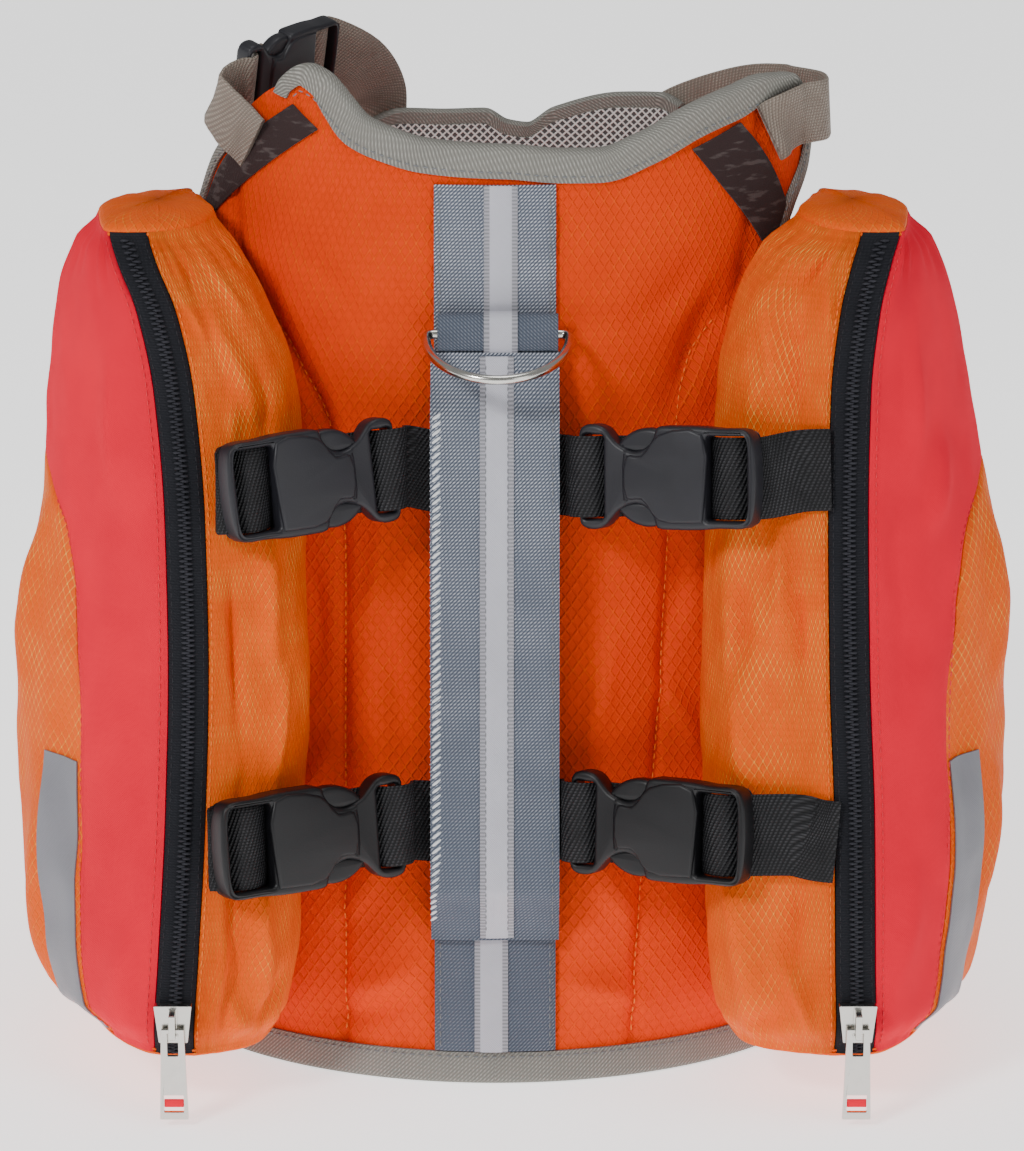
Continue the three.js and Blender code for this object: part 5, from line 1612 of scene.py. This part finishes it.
def stitches(name, finish, runs, pitch=3.0, length=2.2, width=0.55):
    bm = bmesh.new()
    for points, normals in runs:
        stitch_run(bm, points, normals, pitch, length, width)
    soften(bm, 80)
    add_piece(name, bm, finish)


def line_on_back(x_at, heights, lift):
    spots, normals = [], []
    for z in heights:
        x = x_at(z)
        spots.append(on_back(x, z, lift(x, z)))
        normals.append(tube_section(turn_at(x, z), z)[1])
    return spots, normals


def band_line(x, heights, lift, follow):
    spots = []
    for z in heights:
        base = on_back(0, z, lift(x, z))
        spots.append(Vector((x, base.y + follow * sag(x, z), z)))
    return spots, [Vector((0, -1, 0.2)).normalized()] * len(spots)


def tape_line(curve, shares, out_side, reach, lift):
    spots, normals = [], []
    curve = clamped(curve) if curve is not hem_curve else curve
    for t in shares:
        here, before, after = curve(t), curve(t - 0.004), curve(t + 0.004)
        per_degree = (on_tube(here.x + 0.5, here.y) - on_tube(here.x - 0.5, here.y)).length
        along = Vector(((after.x - before.x) * per_degree, after.y - before.y)).normalized()
        out = Vector((-along.y, along.x)) * out_side
        turn = here.x - out.x * reach / per_degree
        z = here.y - out.y * reach
        spots.append(on_tube(turn, z, lift))
        normals.append(tube_section(turn, z)[1])
    return spots, normals


def bag_line(side, share_at, heights, lift=0.1):
    surface = bag_surface(side)
    spots = [surface(share_at(z), z, lift) for z in heights]
    normals = [(surface(share_at(z), z, 1) - surface(share_at(z), z, 0)).normalized() for z in heights]
    return spots, normals


def build_stitching():
    def channel_lift(x, z):
        return pillow(x, z) - 0.9 + relief(BACK_FOLDS, x, z)

    rows = spaced(13, 232, 220)
    channels = [line_on_back(lambda z, key=key: column(CHANNELS, "z", z, key), rows, channel_lift)
                for key in ("left", "right")]
    stitches("channel_stitches", "orange_thread", channels, 3.0, 2.3, 0.6)

    upper, lower = spaced(228, STRIP_TOP - 1, 50), spaced(STRIP_FOOT + 1, HANDLE_FOOT - 1, 40)
    runs = [band_line(x, part, lambda u, z: 1.75, 1) for x in (-17.2, 17.2) for part in (upper, lower)]
    stitches("strip_stitches", "grey_thread", runs, 2.8, 2.1, 0.5)

    def on_handle(u, z):
        return handle_lift(z) + handle_shape(u, z) + HANDLE_WALL + 0.05

    heights = spaced(HANDLE_FOOT + 3, HANDLE_TOP - 3, 160)
    tape_edges = [band_line(x, heights, lambda u, z: on_handle(u, z) + 0.5, 0)
                  for x in (0.6 - 3.4, 0.6 + 3.4)]
    stitches("handle_tape_stitches", "grey_thread", tape_edges, 2.4, 1.8, 0.35)
    edges = spaced(HANDLE_FOOT + 5, HANDLE_TOP - 12, 150)
    stitches("handle_edge_stitches", "grey_thread", [band_line(17.9, edges, on_handle, 0)], 2.8, 2.1, 0.45)
    build_overlock(on_handle)

    runs = []
    for curve, shares, side, reach in (
        (collar_edge, spaced(0.07, 0.97, 200), 1, 6.2), (hem_curve, spaced(-0.22, 0.22, 260), -1, 6.6),
        (left_edge, spaced(0.62, 0.96, 80), 1, 2.2), (right_edge, spaced(0.62, 0.96, 80), -1, 2.4),
        (chest_top, spaced(0.05, 0.95, 80), 1, 5.2),
    ):
        runs.append(tape_line(curve, shares, side, reach, 1.5))
    stitches("binding_stitches", "grey_thread", runs, 2.9, 2.1, 0.5)

    heights = spaced(BAG_FOOT + 3, BAG_TOP - 3, 200)
    for side in ("left", "right"):
        runs = [bag_line(side, fixed(ZIP_FROM - 0.011), heights, 0.15)]
        stitches(f"bag_stitches_{side}", "orange_thread", runs, 2.8, 2.1, 0.5)
        runs = [bag_line(side, fixed(ZIP_TO + 0.011), heights, 0.1),
                bag_line(side, lambda z: red_at(z) - 0.009, spaced(BAG_FOOT + 3, 180, 150), 0.1)]
        stitches(f"red_stitches_{side}", "red_thread", runs, 2.8, 2.1, 0.5)
        runs = [bag_line(side, fixed(share), heights, -0.1) for share in (ZIP_FROM + 0.012, ZIP_TO - 0.012)]
        stitches(f"zip_stitches_{side}", "dark_thread", runs, 2.6, 2.0, 0.4)


def build_overlock(on_handle):
    """The pale slanting overlock down the handle's left edge."""
    bm = bmesh.new()
    x = -HANDLE_WIDTH / 2
    count = int((HANDLE_TOP - HANDLE_FOOT - 22) / 2.3)
    for k in range(count):
        z = HANDLE_FOOT + 8 + k * 2.3
        outer = on_back(0, z - 1.4, on_handle(x, z) - 0.6)
        inner = on_back(0, z + 1.6, on_handle(x, z) + 0.35)
        a, b = Vector((x - 0.2, outer.y, z - 1.4)), Vector((x + 3.4, inner.y, z + 1.6))
        along = (b - a).normalized()
        side = along.cross(Vector((0, -1, 0))).normalized()
        out = side.cross(along)
        basis = Matrix((along * (b - a).length, side * 1.15, out * 0.95)).transposed().to_4x4()
        basis.translation = (a + b) / 2
        bmesh.ops.create_icosphere(bm, subdivisions=2, radius=0.5, matrix=Matrix.Scale(MM, 4) @ basis)
    soften(bm, 80)
    add_piece("handle_overlock", bm, "pale_thread")


# Stage: floor, lights and camera

CAMERA_TARGET = Vector((0.54, -39.66, 156.8)) * MM
FOCAL_PIXELS = 4160
PHOTO_WIDTH = 1024


def add_light(name, place, target, size, energy):
    light = bpy.data.lights.new(name, "AREA")
    light.shape = "DISK"
    light.size = size
    light.energy = energy
    lamp = bpy.data.objects.new(name, light)
    lamp.location = place
    lamp.rotation_euler = (Vector(target) - Vector(place)).to_track_quat("-Z", "Y").to_euler()
    bpy.context.scene.collection.objects.link(lamp)


def build_stage(distance, elevation, brightness):
    bm = bmesh.new()
    bmesh.ops.create_grid(bm, x_segments=1, y_segments=1, size=20.0)
    mesh = bpy.data.meshes.new("floor")
    bm.to_mesh(mesh)
    bm.free()
    floor = bpy.data.objects.new("floor", mesh)
    bpy.context.scene.collection.objects.link(floor)
    shader = Shader("pale_floor", 0.9)
    shader.colour(shader.blend(shader.cloud(400.0), (0.93, 0.93, 0.93), (0.96, 0.96, 0.96)))
    shader.surface.inputs["Emission Color"].default_value = (1, 1, 1, 1)
    shader.surface.inputs["Emission Strength"].default_value = 1.25
    mesh.materials.append(shader.material)

    world = bpy.data.worlds.new("studio")
    world.use_nodes = True
    world.node_tree.nodes["Background"].inputs["Color"].default_value = (1, 1, 1, 1)
    world.node_tree.nodes["Background"].inputs["Strength"].default_value = 0.32 * brightness
    bpy.context.scene.world = world
    focus = (0, -0.05, 0.15)
    add_light("key", (-0.95, -1.2, 1.25), focus, 0.4, 16 * brightness)
    add_light("fill", (1.0, -1.2, 0.6), focus, 0.7, 2.6 * brightness)
    add_light("top", (0.1, -0.1, 1.6), focus, 0.7, 4.5 * brightness)

    camera = bpy.data.cameras.new("camera")
    camera.sensor_fit = "HORIZONTAL"
    camera.sensor_width = 36
    camera.lens = FOCAL_PIXELS / PHOTO_WIDTH * 36
    camera.clip_start = 0.05
    camera.clip_end = 100
    eye = bpy.data.objects.new("camera", camera)
    back = Vector((0, -math.cos(elevation), math.sin(elevation)))
    eye.location = CAMERA_TARGET + back * distance
    eye.rotation_euler = (-back).to_track_quat("-Z", "Y").to_euler()
    bpy.context.scene.collection.objects.link(eye)
    bpy.context.scene.camera = eye


# Add-on layout


class JacketColours(bpy.types.PropertyGroup):
    """Colours of the jacket's cloths and hardware."""

    orange: FloatVectorProperty(name="Jacket orange", description="Cloth of the back and chest panels",
                                default=(1.0, 0.06, 0.0), subtype="COLOR", min=0, max=1)
    bag_orange: FloatVectorProperty(name="Bag orange", description="Ripstop cloth of the bags",
                                    default=(1.0, 0.115, 0.0), subtype="COLOR", min=0, max=1)
    red: FloatVectorProperty(name="Red", description="Cloth beside the zips", default=(0.86, 0.006, 0.035),
                             subtype="COLOR", min=0, max=1)
    grey_tape: FloatVectorProperty(name="Binding grey", description="Twill of the bindings",
                                   default=(0.24, 0.235, 0.21), subtype="COLOR", min=0, max=1)
    strip: FloatVectorProperty(name="Strip blue-grey", description="Twill of the centre strip and handle",
                               default=(0.095, 0.115, 0.155), subtype="COLOR", min=0, max=1)
    silver: FloatVectorProperty(name="Reflective silver", description="Reflective tapes",
                                default=(0.5, 0.5, 0.56), subtype="COLOR", min=0, max=1)
    shoulder_band: FloatVectorProperty(name="Shoulder band", description="Napped cloth on the shoulders",
                                       default=(0.035, 0.022, 0.022), subtype="COLOR", min=0, max=1)
    webbing: FloatVectorProperty(name="Black webbing", description="Straps over the back",
                                 default=(0.004, 0.004, 0.005), subtype="COLOR", min=0, max=1)
    shoulder_webbing: FloatVectorProperty(name="Shoulder webbing", description="Grey-brown shoulder webbing",
                                          default=(0.2, 0.165, 0.135), subtype="COLOR", min=0, max=1)
    plastic: FloatVectorProperty(name="Buckle plastic", description="Moulded buckles",
                                 default=(0.012, 0.012, 0.016), subtype="COLOR", min=0, max=1)


class JacketStage(bpy.types.PropertyGroup):
    """Camera and light."""

    distance: FloatProperty(name="Camera distance", description="From the camera to its target", default=1.3,
                            min=0.3, unit="LENGTH")
    elevation: FloatProperty(name="Camera elevation", description="Angle above the horizon",
                             default=math.radians(16), subtype="ANGLE")
    brightness: FloatProperty(name="Brightness", description="Strength of every light", default=1.0, min=0.0)


class JACKET_OT_panels(bpy.types.Operator):
    """Make the padded back and chest panels and the mesh lining"""

    bl_idname = "jacket.panels"
    bl_label = "Body panels"

    def execute(self, context):
        build_back_panel()
        build_chest()
        return {"FINISHED"}


class JACKET_OT_bindings(bpy.types.Operator):
    """Make the grey bindings and the shoulder bands"""

    bl_idname = "jacket.bindings"
    bl_label = "Bindings and bands"

    def execute(self, context):
        build_bindings()
        build_shoulder_bands()
        return {"FINISHED"}


class JACKET_OT_handle(bpy.types.Operator):
    """Make the centre strip, the grab handle and their reflective tapes"""

    bl_idname = "jacket.handle"
    bl_label = "Strip and handle"

    def execute(self, context):
        build_strip_and_handle()
        return {"FINISHED"}


class JACKET_OT_ring(bpy.types.Operator):
    """Make the lead ring and the loop that holds it"""

    bl_idname = "jacket.ring"
    bl_label = "Lead ring"

    def execute(self, context):
        build_lead_ring()
        return {"FINISHED"}


class JACKET_OT_bags(bpy.types.Operator):
    """Make the two saddlebags"""

    bl_idname = "jacket.bags"
    bl_label = "Saddlebags"

    def execute(self, context):
        build_saddlebags()
        return {"FINISHED"}


class JACKET_OT_buckles(bpy.types.Operator):
    """Make the five side-release buckles"""

    bl_idname = "jacket.buckles"
    bl_label = "Buckles"

    def execute(self, context):
        build_buckles()
        return {"FINISHED"}


class JACKET_OT_webbing(bpy.types.Operator):
    """Make the straps, the bag tails and the shoulder webbing"""

    bl_idname = "jacket.webbing"
    bl_label = "Webbing"

    def execute(self, context):
        build_webbing()
        return {"FINISHED"}


class JACKET_OT_zip_hardware(bpy.types.Operator):
    """Finish the zip sliders and pulls"""

    bl_idname = "jacket.zip_hardware"
    bl_label = "Zip hardware"

    def execute(self, context):
        build_zip_hardware()
        return {"FINISHED"}


class JACKET_OT_stitching(bpy.types.Operator):
    """Sew the seams that show"""

    bl_idname = "jacket.stitching"
    bl_label = "Stitching"

    def execute(self, context):
        build_stitching()
        return {"FINISHED"}


class JACKET_OT_stage(bpy.types.Operator):
    """Set up the floor, the lights and the camera"""

    bl_idname = "jacket.stage"
    bl_label = "Stage"

    def execute(self, context):
        stage = context.scene.jacket_stage
        build_stage(stage.distance, stage.elevation, stage.brightness)
        return {"FINISHED"}


OPERATORS = (
    JACKET_OT_panels, JACKET_OT_bindings, JACKET_OT_handle, JACKET_OT_ring, JACKET_OT_bags, JACKET_OT_buckles,
    JACKET_OT_webbing, JACKET_OT_zip_hardware, JACKET_OT_stitching, JACKET_OT_stage,
)


class VIEW3D_PT_jacket(bpy.types.Panel):
    """Colours, camera, light and pieces of the jacket"""

    bl_label = "Dog life jacket"
    bl_space_type = "VIEW_3D"
    bl_region_type = "UI"
    bl_category = "Jacket"

    def draw(self, context):
        layout = self.layout
        for group in (context.scene.jacket_colours, context.scene.jacket_stage):
            for name in group.__annotations__:
                layout.prop(group, name)
        for operator in OPERATORS:
            layout.operator(operator.bl_idname)


CLASSES = (JacketColours, JacketStage, *OPERATORS, VIEW3D_PT_jacket)


def register():
    for cls in CLASSES:
        bpy.utils.register_class(cls)
    bpy.types.Scene.jacket_colours = PointerProperty(type=JacketColours)
    bpy.types.Scene.jacket_stage = PointerProperty(type=JacketStage)


def unregister():
    del bpy.types.Scene.jacket_stage
    del bpy.types.Scene.jacket_colours
    for cls in reversed(CLASSES):
        bpy.utils.unregister_class(cls)


def main():
    register()
    bpy.ops.jacket.stage()
    bpy.ops.jacket.panels()
    bpy.ops.jacket.bindings()
    bpy.ops.jacket.handle()
    bpy.ops.jacket.ring()
    bpy.ops.jacket.bags()
    bpy.ops.jacket.buckles()
    bpy.ops.jacket.webbing()
    bpy.ops.jacket.zip_hardware()
    bpy.ops.jacket.stitching()


if __name__ == "__main__":
    main()
